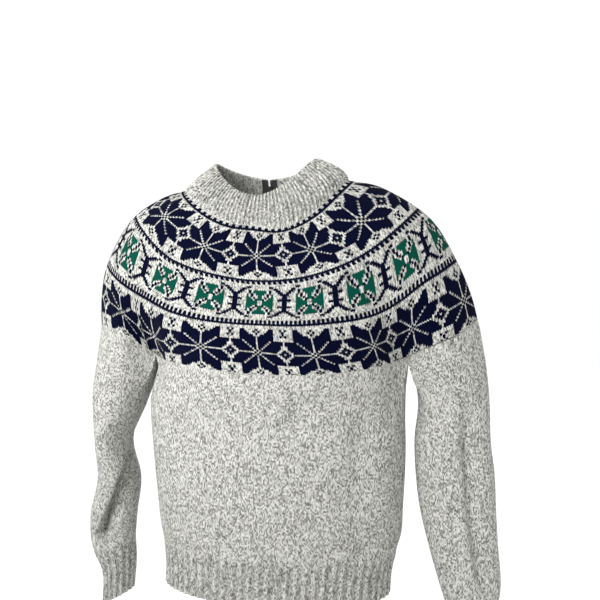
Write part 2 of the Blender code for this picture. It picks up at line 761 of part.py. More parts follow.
def slider(frame, collection, tools, finish):
    """Two plates either side of the tapes, a post between them, and the hinge bar."""
    plate_low = -BAR_HEIGHT - PLATE
    tape_top = plate_low - PLATE_CLEAR
    inner_top = tape_top - TAPE_WALL - PLATE_CLEAR
    post = plate_low + PLATE / 2 - (inner_top - PLATE / 2)
    size = (SLIDER_WIDTH, PLATE, SLIDER_LENGTH)
    joined = [box(size, (0, plate_low + PLATE / 2, 0)),
              box((POST_WIDTH, post, SLIDER_LENGTH * 0.6),
                  (0, plate_low + PLATE / 2 - post / 2, 0)),
              box((SLIDER_WIDTH * 1.35, PLATE, SLIDER_LENGTH), (0, inner_top - PLATE / 2, 0))]
    lug_height = BAR_HEIGHT + BAR_RADIUS + 0.4 + PLATE / 2
    for side in (-1, 1):
        middle = side * (LUG_INSIDE + LUG_WALL / 2)
        base = -BAR_HEIGHT - PLATE / 2 + lug_height / 2
        joined.append(box((LUG_WALL, lug_height, LUG_LENGTH), (middle, base, 0)))
    joined.append(rod(BAR_RADIUS, 2 * LUG_INSIDE + LUG_WALL, (0, 0, 0)))
    return combine("zip_slider", joined, [], frame, collection, tools, finish)


def pull_tab(frame, collection, tools, finish):
    """A flat tab on an eye that turns on the slider's bar."""
    neck = TAB_START + 1.0
    joined = [rod(EYE_RADIUS, EYE_WIDTH, (0, 0, 0)),
              box((EYE_WIDTH * 0.8, TAB_WALL, neck), (0, 0, -neck / 2)),
              box((TAB_WIDTH, TAB_WALL, TAB_LENGTH - TAB_START),
                  (0, 0, -(TAB_LENGTH + TAB_START) / 2))]
    cut = [rod(EYE_HOLE, 2 * EYE_WIDTH, (0, 0, 0)),
           rod(TAB_HOLE, 4 * TAB_WALL, (0, 0, -TAB_LENGTH + 2 * TAB_HOLE), axis="Y")]
    return combine("zip_pull", joined, cut, frame, collection, tools, finish)


# ================================================================== build
def clear_scene():
    for item in list(bpy.data.objects):
        bpy.data.objects.remove(item, do_unlink=True)


def new_collection(name):
    made = bpy.data.collections.new(name)
    bpy.context.scene.collection.children.link(made)
    return made


def main():
    clear_scene()
    jumper = new_collection("fair_isle_jumper")
    tools = new_collection("helpers")
    wool = material("marled_wool", WOOL, 0.95)
    patterned = material("patterned_wool", PATTERNED_WOOL, 0.95)
    black_tape = material("woven_tape", TAPE_BLACK, 0.85)
    metal = material("zip_metal", ZIP_METAL, 0.35, 1.0)

    knitted = main_pieces()
    knitted += build_walls([neckband_patch()],
                           [Patch("yoke_top", yoke_rings(YOKE_ROWS[:2], around_the_neck(
                               2 * NECKBAND_RIBS + 1)), False, 0)])
    knitted += [hem_rib(), cuff("right"), cuff("left")]
    for wall in knitted:
        add_wall(wall, jumper, patterned if wall[0] == "yoke" else wool)
    add_wall(tape("zip_tape_right", 1), jumper, black_tape)
    add_wall(tape("zip_tape_left", -1), jumper, black_tape)

    frame = zip_frame()
    slider(frame, jumper, tools, metal)
    pull_tab(frame, jumper, tools, metal)


main()
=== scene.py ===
# %% [markdown]
# # A round-yoke jumper in two-colour knitting
# This lesson dresses the plain solids of a knitted jumper, filled out as if worn but
# with nobody inside. Knitting is a grid: every stitch has a place along its row and a
# row down the garment. So each piece is drawn as a surface measured in stitches and
# rows, and the stitches then decide the mesh, the relief and the colour.

# %% Load the frame
import math

import bmesh
import bpy
import numpy as np
from mathutils import Matrix, Vector


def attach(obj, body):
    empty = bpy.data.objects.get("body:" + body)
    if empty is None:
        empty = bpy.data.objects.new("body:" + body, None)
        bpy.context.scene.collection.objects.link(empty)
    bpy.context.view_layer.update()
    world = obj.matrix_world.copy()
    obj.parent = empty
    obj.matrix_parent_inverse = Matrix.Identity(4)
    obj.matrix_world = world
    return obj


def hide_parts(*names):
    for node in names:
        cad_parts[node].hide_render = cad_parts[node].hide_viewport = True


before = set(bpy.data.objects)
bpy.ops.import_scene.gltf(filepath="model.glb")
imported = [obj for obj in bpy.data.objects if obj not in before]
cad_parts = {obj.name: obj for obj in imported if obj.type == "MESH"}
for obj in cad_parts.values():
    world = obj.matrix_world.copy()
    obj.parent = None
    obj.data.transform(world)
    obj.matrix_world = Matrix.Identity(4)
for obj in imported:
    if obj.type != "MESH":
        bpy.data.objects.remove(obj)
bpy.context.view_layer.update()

BODY = "jumper"

# %% [markdown]
# ## The garment's sizes
# Lengths are millimetres and MM turns them into Blender's metres. -Y is the front, +Z
# is up, and +X is to the right of someone facing the front. A "ring" is one round of
# knitting of the yoke: how far it leans sideways, its depth in front and behind, where
# the fold between body and sleeve lies, and its height in front, at the side and behind.

# %% Sizes of the cloth and the ribs
MM = 0.001
KNIT_WALL = 3.0           # stockinette
NECKBAND_WALL = 4.5       # rib folded double
RIB_WALL = 3.0
RIB_RISE, RIB_SINK = 1.2, 0.9         # ribs above and valleys below the cloth's line
RIB_FADE = 7.0            # ribs rise out of the plain cloth over this length
NECKBAND_RIBS = 96        # 1 x 1 rib
HEM_RIBS = 66             # 2 x 2 rib
CUFF_RIBS = 16
SLIT_HALF = 3.5           # half the slit at the centre back
SLIT_FULL, SLIT_END = 0.20, 0.23      # down the yoke: open to here, closed from here
STITCH, ROW = 3.57, 2.65  # one stitch's width and one row's height

# %% Rings of the yoke
RING = ("down", "shift", "front", "back", "fold_x", "fold_y", "cap_x", "cap_y",
        "outer_x", "outer_y", "z_front", "z_side", "z_back", "tilt", "power", "front_x",
        "back_x", "lift", "sag")
NECK_TOP = (0.00, -25, 56, 58, 52, 43, 73, 26, 82, 0, -20, 39, 18, 0.020, 2.0, 9, -9, 0, 0)
YOKE_RINGS = (
    (0.00, -25, 72, 70, 85, 56, 119, 33, 134, 0, -71, -5, -32, 0.000, 2.0, 0, -7, 9, 12),
    (0.20, -20, 88, 88, 120, 66, 162, 38, 183, 4, -114, -15, -72, 0.010, 2.2, 0, -3, 4, 4),
    (0.39, -12, 102, 104, 158, 76, 212, 45, 242, 6, -158, -50, -115, -0.008, 2.4, -5, -5, 0, 0),
    (0.64, -12, 114, 118, 185, 66, 244, 52, 289, 8, -219, -125, -178, 0.000, 3.0, -2, -2, 0, 0),
    (0.82, -7, 118, 121, 198, 42, 251, 49, 305, 10, -256, -176, -214, 0.000, 3.0, -1, -1, 0, 0),
    (1.00, -1, 119, 122, 205, 20, 253, 46, 312, 10, -292, -226, -250, 0.000, 3.0, -1, -1, 0, 0),
)
NECK_BULGE = 3.0          # the neckband's middle stands out from a straight cone,
RIGHT_BULGE = 9.0         # and by this much more on its right
CHEST_ROUND = 3.0         # how square the chest is between centre and fold
UNDERARM_DROP = 12.0      # sag of the underarm below the folds
print("rings in the yoke:", len(YOKE_RINGS))

# %% Sections of the body and sleeves
SECTION = ("z", "shift", "half_width", "front", "back")
BODY_SECTIONS = (
    (-262, -6, 208, 119, 122),
    (-345, -10, 208, 118, 121),
    (-420, -7, 206, 116, 119),
    (-505, -5, 200, 112, 116),
    (-548, -4, 196, 109, 113),
    (-572, -5, 190, 106, 110),
    (-605, -7, 184, 104, 108),
    (-640, -9, 183, 104, 108),
)
HEM_TOP, HEM_EDGE = -572.0, -640.0
BODY_FADE = 110.0         # the yoke's shape fades out over this drop
BODY_FRONT_FOLD, BODY_BACK_FOLD = 101.2, 70.4      # degrees clockwise from the back
CUT = ("z", "x", "y", "half_width", "half_depth", "slope")
SLEEVE_CUTS = {
    "right": (
        (-247, 261, 10, 51, 50, 0.40),
        (-300, 268, 10, 54, 46, 0.20),
        (-345, 271, 10, 55, 42, 0.08),
        (-400, 270, 8, 58, 39, 0.00),
        (-450, 274, 6, 60, 38, 0.00),
        (-500, 278, 4, 58, 38, 0.00),
        (-555, 286, 0, 53, 37, 0.00),
        (-615, 297, -6, 46, 35, 0.00),
        (-655, 301, -10, 37, 33, 0.00),
        (-735, 304, -14, 31, 28, 0.00),
    ),
    "left": (
        (-247, 264, 10, 50, 50, 0.40),
        (-300, 272, 11, 50, 50, 0.25),
        (-350, 283, 12, 44, 52, 0.20),
        (-419, 294, 14, 27, 54, 0.10),
        (-486, 288, 20, 34, 48, 0.00),
        (-554, 300, 22, 39, 42, -0.10),
        (-600, 297, 18, 35, 37, -0.25),
        (-628, 287, 14, 27, 35, -0.33),
        (-682, 285, 8, 24, 32, -0.45),
    ),
}
CUFF_TOP = {"right": -655.0, "left": -600.0}
CUFF_EDGE = {"right": -735.0, "left": -682.0}
SLEEVE_FADE = 100.0
SLEEVE_FOLD = 60.7        # degrees from the middle of the underarm's far side to a fold
print("body sections:", len(BODY_SECTIONS), "| sleeve cuts:",
      {side: len(cuts) for side, cuts in SLEEVE_CUTS.items()})

# %% [markdown]
# ## Creases
# Cloth that hangs loose folds where it has too much width. Each crease is a soft trough
# with a gentle side and a short one, pressed towards the middle of its tube. It runs
# from one place to another, given in degrees clockwise from the back and in height.

# %% Creases of the body and sleeves
CREASE = ("path", "depth", "soft", "lip", "ends", "tuck")
CREASES = {
    "body": (
        (((196, -310), (203, -520)), 6, 26, 26, 0.3, 0),
        (((160, -296), (162, -350), (166, -400)), 6, 20, 14, 0.35, 0),
        (((139, -590), (126, -545)), 5, 12, 10, 0.3, 0),
        (((128, -320), (138, -520)), 7, 24, 20, 0.3, 0),
        (((84, -245), (85, -300), (92, -350)), 9, 13, 12, 0.35, 0),
        (((262, -250), (258, -300), (252, -345)), 9, 14, 13, 0.35, 0),
        (((224, -340), (214, -470)), 5, 24, 24, 0.3, 0),
        (((20, -320), (12, -500)), 6, 26, 26, 0.3, 0),
        (((330, -330), (342, -520)), 7, 26, 22, 0.3, 0),
    ),
    "right": (
        (((158, -300), (156, -450), (155, -560), (153, -640)), 13, 17, 8, 0.25, 0),
        (((262, -300), (238, -400)), 5, 14, 14, 0.3, 0),
        (((20, -330), (40, -560)), 7, 18, 16, 0.3, 0),
    ),
    "left": (
        (((45, -395), (83, -421), (110, -442), (142, -467), (167, -490), (180, -519),
          (190, -542), (200, -558), (207, -573), (214, -590)), 27, 34, 5, 0.17, 11),
        (((330, -360), (20, -520)), 8, 18, 16, 0.3, 0),
    ),
}
print("creases:", {name: len(rows) for name, rows in CREASES.items()})

# %% [markdown]
# ## Smooth curves from short tables
# A few measured rows are enough for a smooth form when a cubic curve runs through them.
# A ring is drawn through twenty corner points, then cut into stretches between the
# folds, so that a column of points always follows the same fold down the yoke.

# %% Curves
def named(columns, row):
    """One row of a table, by the names of its columns."""
    return dict(zip(columns, row))


def eased(share):
    """From 0 to 1 with a gentle start and a gentle end."""
    return share * share * (3 - 2 * share)


def unit(vectors):
    """The same directions, each with length 1."""
    return vectors / np.linalg.norm(vectors, axis=-1, keepdims=True)


def read_at(places, keys, values):
    """Every column of the values, read at places between their rising keys."""
    return np.stack([np.interp(places, keys, column) for column in values.T], axis=1)


def smooth_through(keys, values, at):
    """A cubic curve through one value for each rising key, read at the places given."""
    keys, values, at = (np.asarray(item, float) for item in (keys, values, at))
    slopes = np.gradient(values, keys, axis=0)
    start = np.clip(np.searchsorted(keys, at, side="right") - 1, 0, len(keys) - 2)
    shape = (-1,) + (1,) * (values.ndim - 1)
    width = (keys[start + 1] - keys[start]).reshape(shape)
    t = (at - keys[start]).reshape(shape) / width
    ease = eased(t)
    leaving = t * (1 - t) ** 2 * width * slopes[start]
    arriving = t * t * (t - 1) * width * slopes[start + 1]
    return (1 - ease) * values[start] + ease * values[start + 1] + leaving + arriving


def read_table(columns, table, keys):
    """Columns of a table, keyed by its first one, read smoothly at any keys."""
    rows = np.array(sorted(table), float)
    values = smooth_through(rows[:, 0], rows[:, 1:], np.atleast_1d(keys))
    return {name: values[:, i, None] for i, name in enumerate(columns[1:])}


def running(steps):
    """The total so far before each step and after the last one."""
    return np.concatenate([[0.0], np.cumsum(steps)])


def arc_length(curve):
    """The length along a curve at each of its points."""
    return running(np.linalg.norm(np.diff(curve, axis=0), axis=1))


def at_length(curve, places):
    """Points at the given lengths along a curve."""
    return read_at(places, arc_length(curve), curve)


def spread(curve, marks, counts):
    """Points evenly spaced along a curve between each pair of marks."""
    length = arc_length(curve)
    places = [np.linspace(length[a], length[b], n, endpoint=False)
              for a, b, n in zip(marks, marks[1:], counts)]
    return at_length(curve, np.concatenate(places))


# %% Rings of knitting
BOWED_AT = (0.45, 0.8, 1.0)                  # corners from the centre to the fold
SPAN = 12                                    # curve steps between two corner points
FINE = 3                                     # finer than the solids by this much
BACK_HALF, CAP, FRONT_HALF, UNDERARM = 16 * FINE, 20 * FINE, 16 * FINE, 4 * FINE
BACK_FOLD_AT, FRONT_FOLD_AT, FRONT_AT, CORNERS = 3, 7, 10, 20
RING_MARKS = (0, BACK_FOLD_AT, FRONT_FOLD_AT, FRONT_AT,
              CORNERS - FRONT_FOLD_AT, CORNERS - BACK_FOLD_AT, CORNERS)
RING_COLUMNS = (BACK_HALF, CAP, FRONT_HALF, FRONT_HALF, CAP, BACK_HALF)


def ring_corners(row):
    """The corner points of one ring, clockwise from the centre back seen from above."""
    ring = named(RING, row)

    def corner(x, y, z_middle):
        rise = 1 - (x / ring["outer_x"]) ** ring["power"]
        return x, y, ring["z_side"] + (z_middle - ring["z_side"]) * rise

    def bowed(share, middle, fold):
        return middle - (middle - fold) * share ** CHEST_ROUND

    fold_x, outer_y = ring["fold_x"], ring["outer_y"]
    back_fold = ring["fold_y"] + 2 * outer_y
    back_cap = ring["cap_y"] + 2 * outer_y
    half = [corner(0.0, ring["back"], ring["z_back"])]
    for share in BOWED_AT:
        y = bowed(share, ring["back"], back_fold)
        half.append(corner(share * fold_x, y, ring["z_back"]))
    half.append(corner(ring["cap_x"], back_cap, ring["z_back"]))
    half.append(corner(ring["outer_x"], outer_y, ring["z_side"]))
    half.append(corner(ring["cap_x"], -ring["cap_y"], ring["z_front"]))
    for share in BOWED_AT[::-1]:
        y = bowed(share, ring["front"], ring["fold_y"])
        half.append(corner(share * fold_x, -y, ring["z_front"]))
    half.append(corner(0.0, -ring["front"], ring["z_front"]))
    mirrored = [(-x, y, z) for x, y, z in half[-2:0:-1]]
    points = np.array(half + mirrored)
    points[:, 2] += ring["tilt"] * points[:, 0]
    rightwards = np.clip(points[:, 0] / ring["outer_x"], 0, 1)
    points[:, 2] += ring["lift"] * rightwards ** 4
    points[:, 2] -= ring["sag"] * 4 * rightwards * (1 - rightwards) * (points[:, 1] < 0)
    points[0, 0] += ring["back_x"]
    points[FRONT_AT, 0] += ring["front_x"]
    points[:, 0] += ring["shift"]
    return points


def ring_curve(row):
    """One ring as a smooth closed curve."""
    points = ring_corners(row)
    count = len(points)
    wrapped = np.vstack([points[-3:], points, points[:4]])
    keys = arc_length(wrapped)
    places = [np.linspace(keys[3 + i], keys[4 + i], SPAN, endpoint=False)
              for i in range(count)]
    return smooth_through(keys, wrapped, np.concatenate(places + [[keys[3 + count]]]))


def ring_columns(row):
    """One ring's points for the columns between the folds."""
    return spread(ring_curve(row), [mark * SPAN for mark in RING_MARKS], RING_COLUMNS)


def yoke_rings(rows, columns_of=ring_columns):
    """Rings at any places down the yoke, from the neck seam (0) to its lower edge (1)."""
    keys = [ring[0] for ring in YOKE_RINGS]
    return smooth_through(keys, [columns_of(ring) for ring in YOKE_RINGS], rows)


def neck_rings(rows, columns_of):
    """Rounds of the neckband, from its top edge (0) to the neck seam (1)."""
    top, seam = columns_of(NECK_TOP), columns_of(YOKE_RINGS[0])
    centre = (named(RING, YOKE_RINGS[0])["shift"], 0.0, 0.0)
    outwards = unit(((top + seam) / 2 - centre) * (1, 1, 0))
    outwards *= NECK_BULGE + RIGHT_BULGE * np.clip(outwards[:, :1], 0, 1) ** 2
    return np.array([(1 - row) * top + row * seam + outwards * math.sin(math.pi * row)
                     for row in rows])


print("neck seam is", round(arc_length(ring_curve(YOKE_RINGS[0]))[-1]), "mm round, the yoke's",
      "lower edge", round(arc_length(ring_curve(YOKE_RINGS[-1]))[-1]), "mm")

# %% [markdown]
# ## Counting stitches round the yoke
# A round yoke widens in steps. Each band has more stitches than the one above it, so a
# stitch stays nearly the same size while the ring grows. On every row the stitches are
# shared out evenly from the centre back, which is also where the short zip is, and the
# slit's two edges run between the first and the last stitch.

# %% The yoke as a surface of share round and way down
DEPTHS = np.linspace(0.0, 1.0, 161)
SHARES = np.linspace(0.0, 1.0, 1537)


def slit_half(down):
    """Half the slit's width at each place down the yoke."""
    return SLIT_HALF * np.clip((SLIT_END - down) / (SLIT_END - SLIT_FULL), 0, 1)


def even_rounds():
    """Points at even shares of every round, for each of the DEPTHS."""
    found = []
    for down, ring in zip(DEPTHS, yoke_rings(DEPTHS)):
        curve = np.vstack([ring, ring[:1]])
        whole, gap = arc_length(curve)[-1], slit_half(down)
        found.append(at_length(curve, gap + SHARES * (whole - 2 * gap)))
    return np.array(found)


def between(grid, downs, acrosses):
    """Values of a grid at any places from 0 to 1 down and across it."""
    places = []
    for place, count in ((downs, grid.shape[0]), (acrosses, grid.shape[1])):
        where = np.clip(place, 0, 1) * (count - 1)
        low = np.minimum(where.astype(int), count - 2)
        places.append((low, (where - low).reshape(where.shape + (1,) * (grid.ndim - 2))))
    (row, t), (column, s) = places
    above = grid[row, column] * (1 - s) + grid[row, column + 1] * s
    below = grid[row + 1, column] * (1 - s) + grid[row + 1, column + 1] * s
    return above * (1 - t) + below * t


SURFACE = even_rounds()
print("the yoke's surface is known at", SURFACE.shape[:2], "places")

# %% [markdown]
# ## Rows that wander
# On a real jumper the bands aren't level. The wool is pulled at the shoulders and rides
# up on the arms. The table below says how far down the yoke six landmark rows lie, at
# nineteen places round it, and the rows between them are spaced smoothly. Its last
# three columns slide the top, middle and bottom band sideways, as shares of the round,
# where the cloth is pushed together in front of an armpit.

# %% Where the landmark rows lie
PATTERN_END = 85                      # rows of the three bands
LANDMARK_ROWS = (0, 15.5, 30.5, 43.5, 57.5, 72.5, 85)
DRIFT = ("share", "star_1", "line_1", "cross", "line_2", "star_3", "star_end",
         "slide_1", "slide_2", "slide_3")
SLIDES = ("slide_1", "slide_1", "slide_2", "slide_3", "slide_3")   # at these rows:
SLIDE_ROWS = (0, LANDMARK_ROWS[1], LANDMARK_ROWS[3], LANDMARK_ROWS[5], PATTERN_END)
ROW_DRIFT = (
    (0.00, 0.195, 0.365, 0.495, 0.630, 0.825, 0.980, 0, 0, 0),
    (0.12, 0.205, 0.360, 0.490, 0.630, 0.820, 0.965, -0.004, 0.002, 0.004),
    (0.25, 0.230, 0.350, 0.478, 0.624, 0.812, 0.938, -0.012, 0.005, 0.013),
    (0.28, 0.235, 0.355, 0.480, 0.620, 0.810, 0.957, -0.013, 0.006, 0.015),
    (0.31, 0.241, 0.362, 0.485, 0.617, 0.806, 0.956, -0.009, 0.006, 0.017),
    (0.34, 0.245, 0.368, 0.498, 0.638, 0.814, 0.976, -0.002, 0.006, 0.012),
    (0.37, 0.243, 0.371, 0.512, 0.652, 0.838, 0.992, 0, 0.005, 0.005),
    (0.42, 0.230, 0.372, 0.508, 0.644, 0.855, 0.995, 0, 0.004, 0.004),
    (0.46, 0.211, 0.372, 0.512, 0.638, 0.851, 0.995, 0, 0.001, 0.003),
    (0.50, 0.208, 0.371, 0.503, 0.632, 0.829, 0.993, 0.001, -0.002, -0.001),
    (0.56, 0.203, 0.356, 0.483, 0.616, 0.804, 0.970, 0.004, -0.004, -0.002),
    (0.60, 0.204, 0.361, 0.479, 0.607, 0.818, 0.972, 0.010, -0.001, 0.013),
    (0.64, 0.206, 0.369, 0.478, 0.601, 0.846, 0.990, 0.018, 0.004, 0.023),
    (0.66, 0.209, 0.366, 0.478, 0.603, 0.838, 0.985, 0.024, 0.009, 0.007),
    (0.69, 0.218, 0.361, 0.480, 0.609, 0.768, 0.915, 0.030, 0.014, -0.001),
    (0.74, 0.218, 0.362, 0.485, 0.622, 0.795, 0.965, 0.024, 0.012, 0.006),
    (0.82, 0.205, 0.365, 0.492, 0.630, 0.815, 0.965, 0.008, 0.004, 0.004),
    (0.90, 0.195, 0.365, 0.495, 0.630, 0.825, 0.975, 0, 0, 0),
    (1.00, 0.195, 0.365, 0.495, 0.630, 0.825, 0.980, 0, 0, 0),
)
HALF_ROWS = np.arange(0, PATTERN_END + 0.01, 0.5)


def wandering():
    """Depth and sideways slide of every half row at every share of the round."""
    drift = read_table(DRIFT, ROW_DRIFT, SHARES)
    columns = {name: values[:, 0] for name, values in drift.items()}
    depths = np.stack([0 * SHARES] + [columns[name] for name in DRIFT[1:7]])
    slides = np.stack([columns[name] for name in SLIDES])
    return (smooth_through(LANDMARK_ROWS, depths, HALF_ROWS),
            smooth_through(SLIDE_ROWS, slides, HALF_ROWS))


ROW_DEPTHS, ROW_SLIDES = wandering()
print("the last row lies between", ROW_DEPTHS[-1].min().round(3), "and",
      ROW_DEPTHS[-1].max().round(3), "of the way down the yoke")


def knitted_at(rows, shares):
    """Points of the yoke's outer face at knitted rows and shares of the round."""
    rows = np.asarray(rows, float) / PATTERN_END
    slid = np.clip(shares + between(ROW_SLIDES, rows, shares), 0, 1)
    return between(SURFACE, between(ROW_DEPTHS, rows, slid), slid)


# %% [markdown]
# ## The charts
# The patterns are old and shared ones: an eight-petalled star, a green cross in a ring,
# and small lines of squares. A knitter works from a chart in which every square is a
# stitch. Both motifs are symmetrical, so a quarter of each is enough. Here "." is the
# marled ground, "#" the navy and "G" the green, counted from the motif's middle.

# %% Charts for the star and the cross
STAR = (
    ".#........##.",
    "#.#######..##",
    ".#.#######..#",
    ".##.#######..",
    ".###.######..",
    ".####.######.",
    ".#####.#####.",
    ".#######.....",
    ".#######.....",
    "..######...#.",
    "#...####....#",
    ".#...###....#",
    "#.....##...#.",
)
CROSS = (
    ".GGGGG....#",
    ".GGGGG....#",
    "G#.GGG..###",
    "G.#.GG....#",
    "G..#.G....#",
    "GG.#.G...##",
    "GGG.#...##.",
    "GGG.#..##..",
    "......##...",
    "....##.....",
    "...........",
)
YARNS = {".": (0.0, 0.0, 0.0), "#": (1.0, 0.0, 0.0), "G": (0.0, 1.0, 0.0)}
SQUARES, SOLID, DOTS, PLAIN = "##..", "#", "#.", "."


def motif(chart, row, stitches, repeat, paired):
    """One row of a motif, repeated round. Its middle is one stitch, or a pair of them."""
    across = (np.arange(stitches) + repeat // 2) % repeat - repeat // 2
    line = chart[abs(row)]
    return [line[min(c if c >= 0 else -c - paired, len(line) - 1)] for c in across]


def plain(line, stitches):
    """One row of a small pattern, repeated round."""
    return [line[i % len(line)] for i in range(stitches)]


def band(rows_above, chart, rows_below, stitches, repeat, paired=0):
    """All the rows of one band: lines of squares, the motif, and lines again."""
    high = len(chart) - 1
    rows = [plain(line, stitches) for line in rows_above]
    rows += [motif(chart, row, stitches, repeat, paired) for row in range(-high, high + 1)]
    return rows + [plain(line, stitches) for line in rows_below]


STAR_1 = band([SQUARES, SOLID, PLAIN], STAR, [PLAIN, PLAIN, SOLID, DOTS, DOTS], 288, 24)
RINGS_2 = band([], CROSS, [PLAIN], 352, 22, paired=1)
STAR_3 = band([DOTS, DOTS, SOLID, PLAIN, PLAIN], STAR, [], 384, 24)
BANDS = (STAR_1, RINGS_2, STAR_3)
print("rows in the bands:", [len(rows) for rows in BANDS],
      "| stitches:", [len(rows[0]) for rows in BANDS])

# %% [markdown]
# ## Gathering a piece of cloth
# Every piece is a closed wall: an outer face, an inner face and the rims between them.
# The small class below gathers points, faces, and for each face's corner its place in
# stitches and rows, which becomes the UV map "stitches". A strip can join two edges
# with different numbers of points, as where one band has more stitches than the next.

# %% A gatherer for points, faces and stitches
SHARP = math.radians(62)  # edges that turn more than this stay sharp


def put_in_scene(name, data):
    """An object made from a mesh, light or camera, linked to the scene."""
    made = bpy.data.objects.new(name, data)
    bpy.context.scene.collection.objects.link(made)
    return made


class Cloth:
    """The points, faces, stitch places and yarns of one piece, gathered bit by bit."""

    def __init__(self):
        self.points, self.count = [], 0
        self.faces, self.places, self.yarns = [], [], []

    def add(self, points):
        """Take a block of points and return their numbers, in the block's own shape."""
        points = np.asarray(points, float)
        numbers = np.arange(self.count, self.count + points[..., 0].size)
        self.points.append(points.reshape(-1, 3))
        self.count += numbers.size
        return numbers.reshape(points.shape[:-1])

    def quads(self, numbers, across, down, yarns=None, flip=False):
        """Faces between neighbouring rows and columns of numbered points."""
        across = np.broadcast_to(across, numbers.shape)
        down = np.broadcast_to(down, numbers.shape)
        order = ((0, 0), (0, 1), (1, 1), (1, 0))
        if flip:
            order = order[::-1]
        rows, columns = numbers.shape
        spots = [(slice(r, rows - 1 + r), slice(c, columns - 1 + c)) for r, c in order]
        faces = np.stack([numbers[spot] for spot in spots], axis=-1).reshape(-1, 4)
        places = np.stack([np.stack([across[spot], down[spot]], axis=-1) for spot in spots],
                          axis=-2).reshape(-1, 4, 2)
        if yarns is None:
            yarns = np.zeros((len(faces), 3))
        self.faces += faces.tolist()
        self.places += places.tolist()
        self.yarns += np.asarray(yarns, float).reshape(-1, 3).tolist()

    def strip(self, first, second, first_places, second_places, yarn_at=None):
        """Triangles between two edges that run the same way; the first is on the left."""
        a, b = 0, 0
        last_a, last_b = len(first) - 1, len(second) - 1
        while a < last_a or b < last_b:
            next_a = (a + 1) / last_a if a < last_a else math.inf
            next_b = (b + 1) / last_b if b < last_b else math.inf
            if next_a <= next_b:
                face = (first[a], first[a + 1], second[b])
                place = (first_places[a], first_places[a + 1], second_places[b])
                a += 1
            else:
                face = (first[a], second[b + 1], second[b])
                place = (first_places[a], second_places[b + 1], second_places[b])
                b += 1
            self.faces.append([int(n) for n in face])
            self.places.append([list(p) for p in place])
            share = (a / last_a + b / last_b) / 2
            self.yarns.append(list(yarn_at(share)) if yarn_at else [0.0, 0.0, 0.0])

    def mesh(self, name, finish):
        """The finished object, smooth-shaded, with its stitch map and yarn colours."""
        made = bpy.data.meshes.new(name)
        made.from_pydata((np.vstack(self.points) * MM).tolist(), [], self.faces)
        stitches = made.uv_layers.new(name="stitches")
        corners = np.array([corner for place in self.places for corner in place])
        stitches.data.foreach_set("uv", corners.ravel().astype(np.float32))
        yarn = made.color_attributes.new(name="yarn", type="FLOAT_COLOR", domain="CORNER")
        colours = [(*colour, 1.0) for colour, face in zip(self.yarns, self.faces) for _ in face]
        yarn.data.foreach_set("color", np.array(colours, np.float32).ravel())
        made.validate()
        made.shade_smooth()
        made.set_sharp_from_angle(angle=SHARP)
        made.materials.append(finish)
        print(f"{name}: {len(made.vertices)} points, {len(made.polygons)} faces")
        return put_in_scene(name, made)


def outward(points, closed):
    """Unit normals of a grid of points whose columns run clockwise and rows run down."""
    if closed:
        along = np.roll(points, -1, axis=1) - np.roll(points, 1, axis=1)
    else:
        along = np.gradient(points, axis=1)
    down = np.gradient(points, axis=0)
    normal = np.cross(along, down)
    return normal / np.maximum(np.linalg.norm(normal, axis=-1, keepdims=True), 1e-9)


def wall(name, outer, thickness, closed, across, down, finish, rise=0.0, sunk=None):
    """A knitted wall: outer face moved by the ribs, plain inner face, and its rims.

    'sunk' says for each column how deep in a valley its faces lie, from 0 to 1."""
    normals = outward(outer, closed)
    size = outer.shape[:2]
    raised, deep = (np.broadcast_to(item, size)[..., None] for item in (rise, thickness))
    cloth = Cloth()
    face = cloth.add(outer + normals * raised)
    back = cloth.add(outer - normals * deep)
    if closed:
        face, back = (np.hstack([grid, grid[:, :1]]) for grid in (face, back))
    yarns = None
    if sunk is not None:
        yarns = np.zeros((face.shape[0] - 1, face.shape[1] - 1, 3))
        yarns[..., 2] = (sunk[:-1, :-1] + sunk[1:, 1:]) / 2
    cloth.quads(face, across, down, yarns)
    cloth.quads(back, across, down, flip=True)
    across, down = (np.broadcast_to(item, face.shape) for item in (across, down))
    cloth.quads(np.stack([back[0], face[0]]), across[0], down[:1, :1] + [[-1], [0]])
    cloth.quads(np.stack([face[-1], back[-1]]), across[-1], down[-1:, :1] + [[0], [1]])
    if not closed:
        for side in ((face[:, 0], back[:, 0]), (back[:, -1], face[:, -1])):
            cloth.quads(np.stack(side), [[0], [1]], down[:, 0])
    return cloth.mesh(name, finish)


# %% [markdown]
# ## Wool and its colours
# Marled yarn is two thin threads, one cream and one grey-beige, twisted together. Along
# a row the two come to the front in turn, which gives short pale and dark dashes. The
# shader therefore draws its colour from noise that runs along each row of stitches, and
# draws the relief from the same grid: two slanting legs to a stitch, in V shapes.

# %% Helpers that add materials and nodes
MATH, MIX = "ShaderNodeMath", "ShaderNodeMix"
MIX_FIRST, MIX_SECOND, MIX_RESULT = 6, 7, 2       # the colour sockets of a Mix node


def linear(code):
    """A colour from its sRGB hex code, as the linear values that a shader uses."""
    parts = [int(code[i:i + 2], 16) / 255 for i in (0, 2, 4)]
    return (*(((p + 0.055) / 1.055) ** 2.4 if p > 0.04045 else p / 12.92 for p in parts), 1.0)


def add(tree, kind, inputs=None, **settings):
    """Add one node with its settings, then its values and links by input name or number.

    A link comes from a socket, or from a node, whose first output is then meant."""
    node = tree.nodes.new(kind)
    for name, value in settings.items():
        setattr(node, name, value)
    for name, value in (inputs or {}).items():
        if isinstance(value, bpy.types.Node):
            value = value.outputs[0]
        if isinstance(value, bpy.types.NodeSocket):
            tree.links.new(value, node.inputs[name])
        else:
            node.inputs[name].default_value = value
    return node


